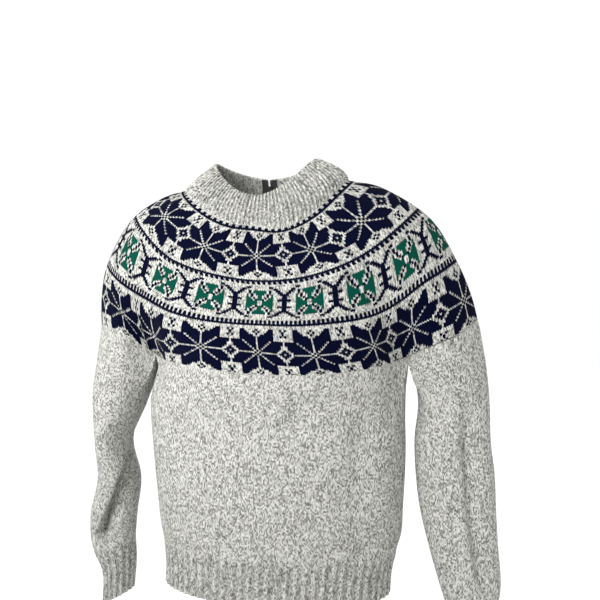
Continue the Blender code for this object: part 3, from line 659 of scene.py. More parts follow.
def new_material(name, **values):
    """A new material, its node tree and its main shader, whose inputs take the values."""
    made = bpy.data.materials.new(name)
    made.use_nodes = True
    shader = made.node_tree.nodes["Principled BSDF"]
    for socket, value in values.items():
        shader.inputs[socket.replace("_", " ")].default_value = value
    return made, made.node_tree, shader


# %% [markdown]
# ## Marled wool as nodes
# A long noise along each row gives the pale and dark dashes of the twist, and every leg
# of a stitch gets a shade of its own on top, which makes the flecks. The noise jumps
# from one row to the next, so the dashes of neighbouring rows don't line up. A real
# rib's valley is deeper than the ones drawn here and gets less light, so the valleys
# are mixed with a darker colour, by the third value of the attribute "yarn".

# %% Wool, knitted
V_DROP = 0.6              # a stitch's middle hangs this much of a row below its sides
CREAM, GREIGE = linear("CCCCC6"), linear("4C4C48")
NAVY, GREEN, HOLLOW = linear("00031B"), linear("023F33"), linear("3A3936")
DASHES, ROW_JUMP = 4.2, 3.7           # dashes to a stitch, 0.85 mm each, and the noise's
                                      # jump from one row to the next
FLECK = 0.6               # how much a leg's own shade counts beside the dashes
DARKEST, PALEST = 0.44, 1.1           # sums of the two that give all grey and all cream
IN_THE_VALLEY = 0.3       # how much a rib's valley darkens
RELIEF, STRAND = 0.8, 0.6             # strength of the relief, and a strand's height, mm


def knitted_wool(name, with_yarns):
    """Wool in V-shaped stitches: the marled ground, and navy and green where the yarn says."""
    made, tree, shader = new_material(name, Roughness=0.95, Sheen_Weight=0.01,
                                      Sheen_Roughness=0.6, Specular_IOR_Level=0.04)
    place = add(tree, "ShaderNodeUVMap", uv_map="stitches")
    split = add(tree, "ShaderNodeSeparateXYZ", {0: place})
    u, v = split.outputs[:2]
    in_stitch = add(tree, MATH, {0: u}, operation="FRACT")
    aside = add(tree, MATH, {0: in_stitch, 1: 2.0, 2: -1.0}, operation="MULTIPLY_ADD")
    swing = add(tree, MATH, {0: aside}, operation="ABSOLUTE")
    drop = add(tree, MATH, {0: swing, 1: -V_DROP, 2: V_DROP}, operation="MULTIPLY_ADD")
    level = add(tree, MATH, {0: v, 1: drop}, operation="SUBTRACT")
    legs = add(tree, MATH, {0: u, 1: 2.0}, operation="MULTIPLY")
    row, in_row, leg, in_leg = (add(tree, MATH, {0: whole}, operation=operation)
                                for whole in (level, legs) for operation in ("FLOOR", "FRACT"))

    jump = add(tree, MATH, {0: row, 1: ROW_JUMP}, operation="MULTIPLY")
    along = add(tree, "ShaderNodeCombineXYZ", {0: u, 1: jump})
    thread = add(tree, "ShaderNodeTexNoise",
                 {"Vector": along, "Scale": DASHES, "Detail": 2.0, "Roughness": 0.7})
    cell = add(tree, "ShaderNodeCombineXYZ", {0: leg, 1: row})
    fleck = add(tree, "ShaderNodeTexWhiteNoise", {"Vector": cell}, noise_dimensions="2D")
    twist = add(tree, MATH, {0: fleck, 1: FLECK, 2: thread}, operation="MULTIPLY_ADD")
    shade = add(tree, "ShaderNodeMapRange", {0: twist, 1: DARKEST, 2: PALEST})
    yarn = add(tree, "ShaderNodeAttribute", attribute_name="yarn")
    masks = add(tree, "ShaderNodeSeparateColor", {0: yarn}).outputs
    hollow = add(tree, MATH, {0: masks[2], 1: IN_THE_VALLEY}, operation="MULTIPLY")
    colour = GREIGE
    for share, next_colour, used in ((shade, CREAM, True), (masks[0], NAVY, with_yarns),
                                     (masks[1], GREEN, with_yarns), (hollow, HOLLOW, True)):
        if used:
            inputs = {"Factor": share, MIX_FIRST: colour, MIX_SECOND: next_colour}
            colour = add(tree, MIX, inputs, data_type="RGBA").outputs[MIX_RESULT]
    tree.links.new(colour, shader.inputs["Base Color"])

    def rounded(share):
        """1 in a strand's middle, 0 at its sides."""
        edge = add(tree, MATH, {0: share, 1: 2.0, 2: -1.0}, operation="MULTIPLY_ADD")
        square = add(tree, MATH, {0: edge, 1: 2.0}, operation="POWER")
        return add(tree, MATH, {0: 1.0, 1: square}, operation="SUBTRACT")

    both = add(tree, MATH, {0: rounded(in_leg), 1: rounded(in_row)}, operation="MULTIPLY")
    height = add(tree, MATH, {0: both}, operation="SQRT")
    relief = add(tree, "ShaderNodeBump",
                 {"Height": height, "Strength": RELIEF, "Distance": STRAND * MM})
    tree.links.new(relief.outputs[0], shader.inputs["Normal"])
    return made


MARL = knitted_wool("marled_wool_stockinette", False)
YOKE_WOOL = knitted_wool("stranded_wool_navy_green", True)

# %% [markdown]
# ## The yoke
# Each stitch of the yoke is two small faces: its two legs. The middle of a stitch hangs
# lower than its sides, so a row of knitting is a line of V shapes and a dark square of
# the chart has the slanting edges of a real one. A face takes its stitch's colour. The
# dark yarn is drawn tighter over pale neighbours and swells into them, so the points
# between a navy stitch and a pale one move a little way into the pale one.

# %% The knitted yoke
INNER_COLUMNS = 192                   # the plain inner face is coarser
INNER_DOWNS = (0.0, 0.06, 0.12, 0.18, 0.24, 0.31, 0.38, 0.45, 0.52, 0.58, 0.64, 0.70,
               0.76, 0.82, 0.88, 0.94, 1.0)
BELOW_LINES = 6                       # lines of faces from the pattern to the yoke's edge
ROWS_PER_DEPTH = 80.0                 # rows in the whole depth, below the pattern's end
INNER_STITCHES, INNER_ROWS = 320, 100         # the inner face's own count, for its relief
SWELL = 0.2                           # a navy stitch takes this much from its neighbours


def zigzag(rows, stitches):
    """Row numbers at the points of a band: sides of stitches high, middles low."""
    lines = np.asarray(rows, float)[:, None] + V_DROP * (np.arange(2 * stitches + 1) % 2)
    lines[0] = rows[0]
    return lines


def swelling(chart):
    """How far, in stitches and rows, each point moves so that the dark yarn swells."""
    dark = np.array([[mark == "#" for mark in line] for line in chart], float)
    dark = np.pad(np.pad(dark, ((0, 0), (1, 1)), mode="wrap"), ((1, 1), (0, 0)), mode="edge")
    over, under = dark[:-2], dark[1:-1]
    both, fall = over + under, over - under
    moves = np.zeros((len(chart), 2 * dark.shape[1] - 3, 2))
    moves[:, 1::2, 1] = SWELL * fall[:, 1:-1]
    moves[:, 0::2, 1] = SWELL * (fall[:, :-1] + fall[:, 1:]) / 2
    moves[:, 0::2, 0] = SWELL * (both[:, :-1] - both[:, 1:]) / 2
    moves[0], moves[:, [0, -1], 0] = 0, 0
    return moves


def yoke_face(cloth):
    """The outer face, band by band. Returns the top and bottom edges and the slit's sides."""
    first_row, hanging, top, sides = 0, None, None, None
    for chart in BANDS:
        rows, stitches = len(chart), len(chart[0])
        shares = np.linspace(0, 1, 2 * stitches + 1)
        lines = zigzag(first_row + np.arange(rows), stitches)
        moves = swelling(chart)
        points = knitted_at(lines + moves[..., 1], shares + moves[..., 0] / stitches)
        if chart is BANDS[-1]:
            end = between(ROW_DEPTHS, np.ones_like(shares), shares)
            share = np.linspace(0, 1, BELOW_LINES + 1)[:, None]
            below = between(SURFACE, end + (1 - end) * share, shares + 0 * share)
            below[0] = knitted_at(np.full(len(shares), PATTERN_END), shares)
            points = np.vstack([points, below])
            lines = np.vstack([lines, PATTERN_END + (1 - end) * share * ROWS_PER_DEPTH])
        numbers = cloth.add(points)
        colours = np.zeros((numbers.shape[0] - 1, 2 * stitches, 3))
        stitch_colours = np.array([[YARNS[mark] for mark in line] for line in chart])
        used = min(rows, numbers.shape[0] - 1)
        colours[:used] = np.repeat(stitch_colours[:used], 2, axis=1)
        cloth.quads(numbers, shares * stitches, lines, colours)
        if hanging is None:
            side_rows = lines[:, 0] + moves[:, 0, 1]
            top, sides = numbers[0], (numbers[:, 0], numbers[:, -1], side_rows)
        else:
            above, above_places, last = hanging
            joined = np.stack([shares * len(last), lines[0]], axis=1)
            cloth.strip(above, numbers[0], above_places, joined,
                        lambda t: YARNS[last[min(int(t * len(last)), len(last) - 1)]])
        hanging = numbers[-1], np.stack([shares * stitches, lines[-1]], axis=1), chart[-1]
        first_row += rows
    return top, hanging[0], sides


def yoke():
    """The knitted outer face, a plainer inner one, and the rims and the slit's sides."""
    cloth = Cloth()
    top, bottom, (first, last, side_rows) = yoke_face(cloth)
    shares = np.linspace(0, 1, INNER_COLUMNS + 1)
    downs = np.array(INNER_DOWNS)[:, None]
    points = between(SURFACE, downs + 0 * shares, shares + 0 * downs)
    normals = outward(points, closed=False)
    normals[:, 0] = normals[:, -1] = unit(normals[:, 0] + normals[:, -1])
    inner = cloth.add(points - normals * KNIT_WALL)
    cloth.quads(inner, shares * INNER_STITCHES, downs * INNER_ROWS, flip=True)

    def edge(numbers, row):
        places = np.linspace(0, INNER_STITCHES, len(numbers))
        return np.stack([places, np.full(len(numbers), row)], axis=1)

    cloth.strip(inner[0], top, edge(inner[0], -1), edge(top, 0))
    cloth.strip(bottom, inner[-1], edge(bottom, INNER_ROWS), edge(inner[-1], INNER_ROWS + 1))
    side_downs = between(ROW_DEPTHS, side_rows / PATTERN_END, 0 * side_rows)
    open_rows = int(np.argmax(side_downs >= SLIT_END)) + 1
    open_inner = int(np.argmax(downs[:, 0] >= SLIT_END)) + 1
    outer_sides = first[:open_rows], last[:open_rows]
    inner_sides = inner[:open_inner, 0], inner[:open_inner, -1]
    upright = [np.stack([np.zeros(len(line)), np.linspace(0, side_rows[open_rows], len(line))],
                        axis=1) for line in (outer_sides[0], inner_sides[0])]
    cloth.strip(outer_sides[0], inner_sides[0], *upright)
    cloth.strip(inner_sides[1], outer_sides[1], upright[1], upright[0])
    return cloth.mesh("knitted_yoke", YOKE_WOOL)


def weld(piece):
    """Join the points that lie on each other, such as the two sides of a closed seam."""
    shape = bmesh.new()
    shape.from_mesh(piece.data)
    before = len(shape.verts)
    bmesh.ops.remove_doubles(shape, verts=shape.verts, dist=0.002 * MM)
    shape.to_mesh(piece.data)
    print(piece.name, "welded", before - len(shape.verts), "points; open edges:",
          sum(1 for edge in shape.edges if len(edge.link_faces) != 2))
    shape.free()
    return piece


YOKE = weld(yoke())

# %% [markdown]
# ## The neckband
# A neckband in 1 x 1 rib is knitted twice as tall and folded over. Each rib is a column
# of stitches that stands up between two that sink in. Its columns here follow the same
# rings as the solids, eight to a rib, so each rib is properly round. Where the cloth is
# folded over, at the top edge, the first few rows pull in to round the fold.

# %% The ribbed neckband
RIB_COLUMNS = 8
RIB_WIDE, PAIR_WIDE = 0.6, 0.62       # how much of its turn a 1 x 1 and a 2 x 2 rib fills
RIB_FULL = 0.7                        # below 1 a rib is fuller than a sine wave
FOLD_ROWS = (0.0, 0.012, 0.03, 0.06)
FOLD_PULLED = (1.7, 0.9, 0.35, 0.0)   # how far those rows are pulled in
NECKBAND_ROWS = np.concatenate([FOLD_ROWS, np.linspace(0.1, 1.0, 15)])


def ribbing(columns, ribs, wide, downs, fade_top, fade_end):
    """How far each point stands out, and how deep in a valley it lies, row by column."""
    turn = np.linspace(0, ribs, columns) % 1
    on_rib = np.clip(np.sin(np.pi * np.clip(turn / wide, 0, 1)), 0, 1) ** RIB_FULL
    fade = np.ones_like(downs)
    if fade_top:
        fade = np.minimum(fade, downs / RIB_FADE)
    if fade_end:
        fade = np.minimum(fade, (downs[-1] - downs) / RIB_FADE)
    fade = eased(np.clip(fade, 0, 1)[:, None])
    return (on_rib * (RIB_RISE + RIB_SINK) - RIB_SINK) * fade, (1 - on_rib) ** 2 * fade


def around_the_neck(count):
    """A function that gives a ring's points from one edge of the slit to the other."""
    def points(row):
        curve = ring_curve(row)
        whole = arc_length(curve)[-1]
        return at_length(curve, np.linspace(SLIT_HALF, whole - SLIT_HALF, count))
    return points


def neckband():
    """The band from one edge of the slit round to the other, ribbed on its outer face."""
    columns = NECKBAND_RIBS * RIB_COLUMNS + 1
    points = neck_rings(NECKBAND_ROWS, around_the_neck(columns))
    across = np.linspace(0, 2 * NECKBAND_RIBS, columns)[None, :]
    tall = np.linalg.norm(points[0] - points[-1], axis=1).mean()
    downs = tall * NECKBAND_ROWS
    rise, sunk = ribbing(columns, NECKBAND_RIBS, RIB_WIDE, downs, False, True)
    pulled = np.interp(NECKBAND_ROWS, FOLD_ROWS, FOLD_PULLED)[:, None]
    return wall("ribbed_neckband", points, NECKBAND_WALL - pulled, False, across,
                downs[:, None] / ROW, MARL, rise - pulled, sunk)


NECKBAND = neckband()

# %% [markdown]
# ## The body
# Below the yoke the body is a plain tube of the marled wool, a little narrower at the
# hem rib. Its top row is the yoke's lower edge and the two underarms, and over the
# first hand's breadth that shape fades into the body's own sections. A crease is cut
# into the flattened tube: every point looks for the nearest place on the crease's path
# and sinks by how near it is. A deep crease also tucks its lip over its trough.

# %% Pressing creases in
PATH_STEPS = 60           # places where a crease's path is measured
BRINK = 1.5               # a tucked lip turns over this many lip widths from the trough
TUCK_REACH, TUCK_LIP = 16.0, 0.8      # its spread beyond the brink, and before it


def creased(name, turns, heights, points, centres):
    """Press the creases of a tube into its points, towards the tube's middle line."""
    inwards = centres - points
    inwards[..., 2] = 0
    radius = np.linalg.norm(inwards, axis=-1, keepdims=True)
    inwards = inwards / radius
    clockwise = np.cross((0, 0, 1.0), inwards)
    size = np.mean(radius)
    moved = points.copy()
    for row in CREASES[name]:
        crease = named(CREASE, row)
        first = crease["path"][0][0]

        def flat(turn, z):
            """Millimetres round the tube from the crease's start, and height."""
            return np.stack([np.radians((turn - first + 180) % 360 - 180) * size, z], axis=-1)

        line = flat(*np.array(crease["path"], float).T)
        keys = np.arange(len(line))
        path = smooth_through(keys, line, np.linspace(0, len(line) - 1, PATH_STEPS))
        run = unit(np.gradient(path, axis=0))
        place = flat(turns, heights)
        nearest = np.argmin([np.sum((place - spot) ** 2, axis=-1) for spot in path], axis=0)
        offset, run = place - path[nearest], run[nearest]
        aside = offset[..., 0] * run[..., 1] - offset[..., 1] * run[..., 0]
        along = nearest / (PATH_STEPS - 1)
        width = np.where(aside > 0, crease["soft"], crease["lip"])
        fade = eased(np.clip(np.minimum(along, 1 - along) / crease["ends"], 0, 1))[..., None]
        moved += inwards * fade * crease["depth"] * np.exp(-(aside / width) ** 2)[..., None]
        brink = aside + BRINK * crease["lip"]
        spread_out = np.where(brink < 0, TUCK_REACH, TUCK_LIP * crease["lip"])
        over = crease["tuck"] * np.exp(-(brink / spread_out) ** 2)[..., None] * fade
        moved += over * (clockwise * run[..., 1:] - run[..., :1] * (0, 0, 1.0))
    return moved


# %% Front and back of the body
ELLIPSE_STEPS = 400
BODY_ROWS = 54
HALF_UNDER = UNDERARM // 2


def even_turns(half_width, half_depth, start, stop, count):
    """Degrees that divide part of an ellipse into stretches of equal length."""
    fine = np.radians(np.linspace(start, stop, ELLIPSE_STEPS))
    outline = np.stack([half_width * np.sin(fine), half_depth * np.cos(fine),
                        np.zeros_like(fine)], axis=1)
    length = arc_length(outline)
    return np.degrees(np.interp(np.linspace(0, length[-1], count + 1), length, fine))


def body_turns():
    """Degrees of the body's columns, clockwise from the +X underarm's middle."""
    chest = named(SECTION, BODY_SECTIONS[0])
    half_depth = (chest["front"] + chest["back"]) / 2
    middle = (BODY_FRONT_FOLD + BODY_BACK_FOLD) / 2
    stops = (middle, BODY_FRONT_FOLD, 360 - BODY_FRONT_FOLD, 360 - middle,
             360 - BODY_BACK_FOLD, 360 + BODY_BACK_FOLD, 360 + middle)
    counts = (HALF_UNDER, 2 * FRONT_HALF, HALF_UNDER, HALF_UNDER, 2 * BACK_HALF, HALF_UNDER)
    parts = [even_turns(chest["half_width"], half_depth, a, b, n)[:-1]
             for a, b, n in zip(stops, stops[1:], counts)]
    return np.concatenate(parts)


def body_rings(heights, turns):
    """Sections of the body: two half ellipses each, with the body's creases."""
    heights = np.asarray(heights, float)
    section = read_table(SECTION, BODY_SECTIONS, heights)
    sine, cosine = np.sin(np.radians(turns)), np.cos(np.radians(turns))
    depth = np.where(cosine > 0, section["back"], section["front"])
    level = np.broadcast_to(heights[:, None], depth.shape)
    centres = np.stack([section["shift"] + 0 * depth, 0 * depth, level], axis=-1)
    out = np.stack([section["half_width"] * sine, depth * cosine, 0 * depth], axis=-1)
    points = centres + out
    around = np.broadcast_to(turns, depth.shape)
    return creased("body", around, level, points, centres)


def fading(distance, reach):
    """1 where the distance is nothing, easing to 0 where it is the reach."""
    return eased(np.clip(1 - distance / reach, 0, 1))


def underarm_curve(front_fold, back_fold):
    """The seam under one arm, from the front fold to the back one, sagging between."""
    share = np.linspace(0, 1, UNDERARM + 1)[:, None]
    curve = front_fold + (back_fold - front_fold) * share
    curve[:, 2] -= UNDERARM_DROP * np.sin(math.pi * share[:, 0])
    return curve


def seam_points():
    """The yoke's lower edge in its four stretches, and the two underarm seams."""
    rim = yoke_rings([1.0])[0]
    turn = np.cumsum((BACK_HALF, CAP, 2 * FRONT_HALF, CAP))
    closed = np.vstack([rim, rim[:BACK_HALF + 1]])
    right_cap = closed[turn[0]:turn[1] + 1]
    front = closed[turn[1]:turn[2] + 1]
    left_cap = closed[turn[2]:turn[3] + 1]
    back = closed[turn[3]:turn[3] + 2 * BACK_HALF + 1]
    right_under = underarm_curve(front[0], right_cap[0])
    left_under = underarm_curve(front[-1], left_cap[-1])
    return right_cap, front, left_cap, back, right_under, left_under


def body_grid():
    """Rounds of the body, from the yoke and underarms down to the hem seam."""
    _, front, _, back, right_under, left_under = seam_points()
    top = np.vstack([right_under[HALF_UNDER::-1][:-1], front[:-1], left_under[:HALF_UNDER],
                     left_under[HALF_UNDER:-1], back[:-1], right_under[:HALF_UNDER:-1]])
    heights = np.linspace(BODY_SECTIONS[0][0], HEM_TOP, BODY_ROWS + 1)
    rings = body_rings(heights, body_turns())
    fade = fading(heights[0] - heights, BODY_FADE)
    return rings + (top - rings[0]) * fade[:, None, None]


def way_down(points):
    """How far down each row of points lies, on average along the row."""
    return running(np.linalg.norm(np.diff(points, axis=0), axis=2).mean(axis=1))


def stitch_places(points):
    """Stitches across from each row's middle, and rows down, for a panel of points."""
    steps = np.linalg.norm(np.diff(points, axis=1), axis=2)
    across = np.hstack([np.zeros((len(points), 1)), np.cumsum(steps, axis=1)])
    across -= across[:, [points.shape[1] // 2]]
    return across / STITCH, way_down(points)[:, None] / ROW


def panel(name, points):
    """A plain wall of marled stockinette."""
    return wall(name, points, KNIT_WALL, False, *stitch_places(points), MARL)


BODY_POINTS = body_grid()
ACROSS = 2 * FRONT_HALF + UNDERARM
ROUND = np.concatenate([BODY_POINTS, BODY_POINTS[:, :1]], axis=1)
BODY_FRONT = panel("body_front_panel", ROUND[:, :ACROSS + 1])
BODY_BACK = panel("body_back_panel", ROUND[:, ACROSS:])

# %% [markdown]
# ## The sleeves
# A sleeve is a tube that hangs beside the body and narrows to the cuff. The left one
# bends a little at the elbow, and there the cloth sinks into one deep slanting fold.

# %% Two sleeves
SLEEVE_ROWS = 170
FINER = 2                 # columns of a sleeve for each of the yoke's


def finer(values):
    """More columns for a closed round that ends where it starts, evenly spread."""
    places = np.arange((len(values) - 1) * FINER) / FINER
    return read_at(places, np.arange(len(values)), values)


def sleeve_turns(side):
    """Degrees of the armhole's columns: over the sleeve head, then the underarm."""
    head = np.linspace(-SLEEVE_FOLD, 180 + SLEEVE_FOLD, CAP + 1)
    under = np.linspace(180 + SLEEVE_FOLD, 360 - SLEEVE_FOLD, UNDERARM + 1)
    if side == "left":
        head, under = head + 180, under + 180
    return finer(np.concatenate([head[:-1], under])[:, None])[:, 0]


def sleeve_rings(side, heights, turns):
    """Sections of one sleeve, from its table of cuts, with its creases."""
    heights = np.asarray(heights, float)
    cut = read_table(CUT, SLEEVE_CUTS[side], heights)
    outwards = 1 if side == "right" else -1
    across = cut["half_width"] * np.sin(np.radians(turns))
    level = heights[:, None] + cut["slope"] * across * outwards
    centres = np.stack([cut["x"] * outwards + 0 * level, cut["y"] + 0 * level, level], axis=-1)
    out = np.stack([across, cut["half_depth"] * np.cos(np.radians(turns)), 0 * level], axis=-1)
    points = centres + out
    around = np.broadcast_to(turns, level.shape)
    return creased(side, around, level, points, centres)


def sleeve_grid(side):
    """Rounds of a sleeve from the armhole to the cuff seam."""
    right_cap, _, left_cap, _, right_under, left_under = seam_points()
    if side == "right":
        top = np.vstack([right_cap[:-1], right_under[:-1], right_cap[:1]])
    else:
        top = np.vstack([left_cap[:-1], left_under[:0:-1], left_cap[:1]])
    heights = np.linspace(SLEEVE_CUTS[side][0][0], CUFF_TOP[side], SLEEVE_ROWS + 1)
    rings = sleeve_rings(side, heights, sleeve_turns(side))
    fade = fading(heights[0] - heights, SLEEVE_FADE)
    return rings + (finer(top) - rings[0]) * fade[:, None, None]


def sleeve(side):
    """One sleeve's closed tube, from the armhole to the cuff's seam."""
    points = sleeve_grid(side)
    looped = np.concatenate([points, points[:, :1]], axis=1)
    return wall("sleeve_" + side + "_tube", points, KNIT_WALL, True, *stitch_places(looped), MARL)


SLEEVES = {side: sleeve(side) for side in ("right", "left")}

# %% [markdown]
# ## Ribbed hem and cuffs
# The hem and both cuffs are in 2 x 2 rib: two raised columns of stitches, two sunk ones.
# The rib draws the edge in, so its ribs stand close together and lean with the edge.

# %% Hem and cuffs
PAIR_COLUMNS = 12         # columns of points for each pair of raised stitches and sunk ones
EDGE_ROWS = 20


def ribbed(name, rings_at, heights, ribs):
    """A closed band of 2 x 2 rib, on the rings that a function gives at the heights."""
    columns = PAIR_COLUMNS * ribs
    points = rings_at(heights, columns)
    across = np.linspace(0, 4 * ribs, columns + 1)[None, :]
    downs = way_down(points)
    rise, sunk = ribbing(columns + 1, ribs, PAIR_WIDE, downs, True, False)
    return wall(name, points, RIB_WALL, True, across, downs[:, None] / ROW, MARL,
                rise[:, :-1], sunk)


def hem_rings(heights, columns):
    """The body's own sections, with columns evenly spread for the ribs."""
    edge = named(SECTION, BODY_SECTIONS[-1])
    half_depth = (edge["front"] + edge["back"]) / 2
    turns = even_turns(edge["half_width"], half_depth, 0, 360, columns)[:-1]
    return body_rings(heights, turns)


def cuff(side):
    """The ribbed cuff that ends one sleeve."""
    def rings(heights, columns):
        return sleeve_rings(side, heights, np.arange(columns) * 360 / columns)

    heights = np.linspace(CUFF_TOP[side], CUFF_EDGE[side], EDGE_ROWS + 1)
    return ribbed("cuff_" + side + "_ribbing", rings, heights, CUFF_RIBS)


HEM = ribbed("hem_ribbing", hem_rings, np.linspace(HEM_TOP, HEM_EDGE, EDGE_ROWS + 1), HEM_RIBS)
CUFFS = {side: cuff(side) for side in ("right", "left")}

# %% [markdown]
# ## The zip's tapes
# A short zip at the back of the neck lets the narrow neckband over the head. Its two
# tapes are woven far finer than the knitting and lie behind it, sewn along the slit.
# Each is a strip of points on the same rings as the yoke, sunk below the cloth's inner
# face. The weave's ribs run down the tape, about a third of a millimetre apart.

# %% Two woven tapes
TAPE_EDGES = (1.5, 3.2, 5.0, 7.0, 9.0, 11.0, 12.5)        # columns, from the middle
TAPE_WALL = 1.0
TAPE_ROWS_NECK = (0.02, 0.12, 0.25, 0.5, 0.75, 1.0)
TAPE_ROWS_YOKE = (0.06, 0.12, 0.18, 0.25)
THINNING = (0.0, 0.12)    # down the yoke: the folded neckband's wall thins to the cloth's
SEAM_GAP = 0.3            # between the cloth's inner face and the tape
WEAVE = (0.6, 0.48)       # a rib of the weave and a thread across it, drawn twice as big
                          # as they are so that they show
WEAVE_RELIEF, THREAD = 0.5, 0.1        # strength of the relief, and a thread's height, mm
TAPE_BLACK, TAPE_SHINE = linear("0B0B0D"), linear("242428")


def from_the_back(offsets):
    """A function that gives a ring's points at lengths on either side of the centre back."""
    def points(row):
        curve = ring_curve(row)
        return at_length(curve, np.mod(offsets, arc_length(curve)[-1]))
    return points


def down_the_slit(neck_rows, rows, offsets):
    """Rows of points down the neckband and the yoke, and the cloth's thickness at each."""
    columns_of = from_the_back(np.array(offsets))
    points = np.concatenate([neck_rings(neck_rows, columns_of), yoke_rings(rows, columns_of)])
    return points, np.concatenate([np.full(len(neck_rows), NECKBAND_WALL),
                                   np.interp(rows, THINNING, (NECKBAND_WALL, KNIT_WALL))])


def woven_tape(name):
    """Black polyester: fine ribs along the tape, crossed by finer threads."""
    made, tree, shader = new_material(name, Roughness=0.7)
    place = add(tree, "ShaderNodeUVMap", uv_map="stitches")
    split = add(tree, "ShaderNodeSeparateXYZ", {0: place})
    waves = {}
    for axis, size in enumerate(WEAVE):
        turns = add(tree, MATH, {0: split.outputs[axis], 1: 2 * math.pi / size},
                    operation="MULTIPLY")
        waves[axis] = add(tree, MATH, {0: turns}, operation="SINE")
    weave = add(tree, MATH, waves, operation="MULTIPLY")
    tone = add(tree, "ShaderNodeMapRange", {0: weave, 1: -1.0, 2: 1.0})
    colour = add(tree, MIX, {"Factor": tone, MIX_FIRST: TAPE_BLACK, MIX_SECOND: TAPE_SHINE},
                 data_type="RGBA")
    tree.links.new(colour.outputs[MIX_RESULT], shader.inputs["Base Color"])
    relief = add(tree, "ShaderNodeBump",
                 {"Height": weave, "Strength": WEAVE_RELIEF, "Distance": THREAD * MM})
    tree.links.new(relief.outputs[0], shader.inputs["Normal"])
    return made


def tape(name, side):
    """A strip behind one side of the slit: +1 for the right one, -1 for the left one."""
    across = np.array(TAPE_EDGES)
    points, walls = down_the_slit(TAPE_ROWS_NECK, TAPE_ROWS_YOKE, across * side)
    if side < 0:
        points, across = points[:, ::-1], across[::-1]
    sunk = walls[:, None] + SEAM_GAP
    down = arc_length(points[:, 0])[:, None]
    return wall(name, points, sunk + TAPE_WALL, False, across[None, :], down, TAPE_CLOTH, -sunk)


TAPE_CLOTH = woven_tape("woven_black_polyester_tape")
TAPES = {"right": tape("zip_tape_right_woven", 1), "left": tape("zip_tape_left_woven", -1)}

# %% [markdown]
# ## The zip's teeth
# Each tape's edge carries a row of small metal teeth. Below the slider the rows mesh,
# each tooth in the gap between two of the other row, and above it they stand apart.
# One small block is placed on a point for each tooth, turned by two directions kept on
# the point, so the whole row costs one short tree of nodes.

# %% Rows of teeth
PITCH = 2.5               # from one tooth to the next on the same tape
TOOTH = (2.6, 1.0, 1.3)   # across, thick and along, in mm
TOOTH_EDGE = 0.22         # how much of each edge is cut off
SLIDER_DOWN = 17.0        # from the neck's top edge to the slider's hinge
MESHED_ABOVE = 3.0        # the rows come together this far above the hinge
OPEN_TEETH, SHUT_TEETH = 1.75, 0.55    # a tooth's middle from the zip's middle
TEETH_NECK = np.linspace(0.04, 1.0, 60)            # from just under the top edge
TEETH_YOKE = np.linspace(0.004, 0.225, 60)         # to just above the slit's end
ASIDE = 2.0               # two lines this far from the middle tell which way is across
FIRST_TOOTH, LAST_GAP = 1.2, 1.0       # lengths left free at the top and at the end
NEARBY = 0.5              # the zip's direction is measured this far up and down it
RUBBED = 900.0            # rubbed spots to a metre, so each is about 1 mm
DULLEST, BRIGHTEST = 1.3, 0.8          # times the roughness, where it is worn


def shiny_metal(name, tone, roughness):
    """Plated metal, a little duller and brighter in places where it has been rubbed."""
    made, tree, shader = new_material(name, Metallic=1.0, Base_Color=linear(tone))
    place = add(tree, "ShaderNodeTexCoord").outputs["Object"]
    rubbed = add(tree, "ShaderNodeTexNoise", {"Vector": place, "Scale": RUBBED, "Detail": 2.0})
    worn = add(tree, "ShaderNodeMapRange",
               {0: rubbed, 3: roughness * BRIGHTEST, 4: roughness * DULLEST})
    tree.links.new(worn.outputs[0], shader.inputs["Roughness"])
    return made


def tooth_places():
    """Each tooth's middle, its direction down the zip and its direction out of the cloth."""
    lines, walls = down_the_slit(TEETH_NECK, TEETH_YOKE, (0.0, ASIDE, -ASIDE))
    middle = lines[:, 0]
    length = arc_length(middle)
    found = []
    for side in (1, -1):
        at = np.arange(FIRST_TOOTH + (side < 0) * PITCH / 2, length[-1] - LAST_GAP, PITCH)
        centre, right, left = (read_at(at, length, lines[:, k]) for k in range(3))
        across = unit(right - left)
        down = unit(read_at(at + NEARBY, length, middle) - read_at(at - NEARBY, length, middle))
        out = unit(np.cross(across, down))
        apart = np.where(at < SLIDER_DOWN - MESHED_ABOVE, OPEN_TEETH, SHUT_TEETH)[:, None]
        below = np.interp(at, length, walls)[:, None] + SEAM_GAP + TAPE_WALL / 2
        found.append((centre + across * apart * side - out * below, down, out))
    return (np.concatenate(part) for part in zip(*found))


def solid_mesh(name, shape, finish):
    """A mesh of its own from a shape under construction, smooth, in one finish."""
    made = bpy.data.meshes.new(name)
    shape.to_mesh(made)
    shape.free()
    made.shade_smooth()
    made.materials.append(finish)
    return made


def tooth_block():
    """One tooth: a small block with its edges cut off."""
    shape = bmesh.new()
    bmesh.ops.create_cube(shape, size=1.0, matrix=Matrix.Diagonal((*(n * MM for n in TOOTH), 1)))
    bmesh.ops.bevel(shape, geom=shape.edges[:], offset=TOOTH_EDGE * MM, segments=1,
                    affect="EDGES")
    return put_in_scene("tooth", solid_mesh("tooth", shape, TOOTH_METAL))


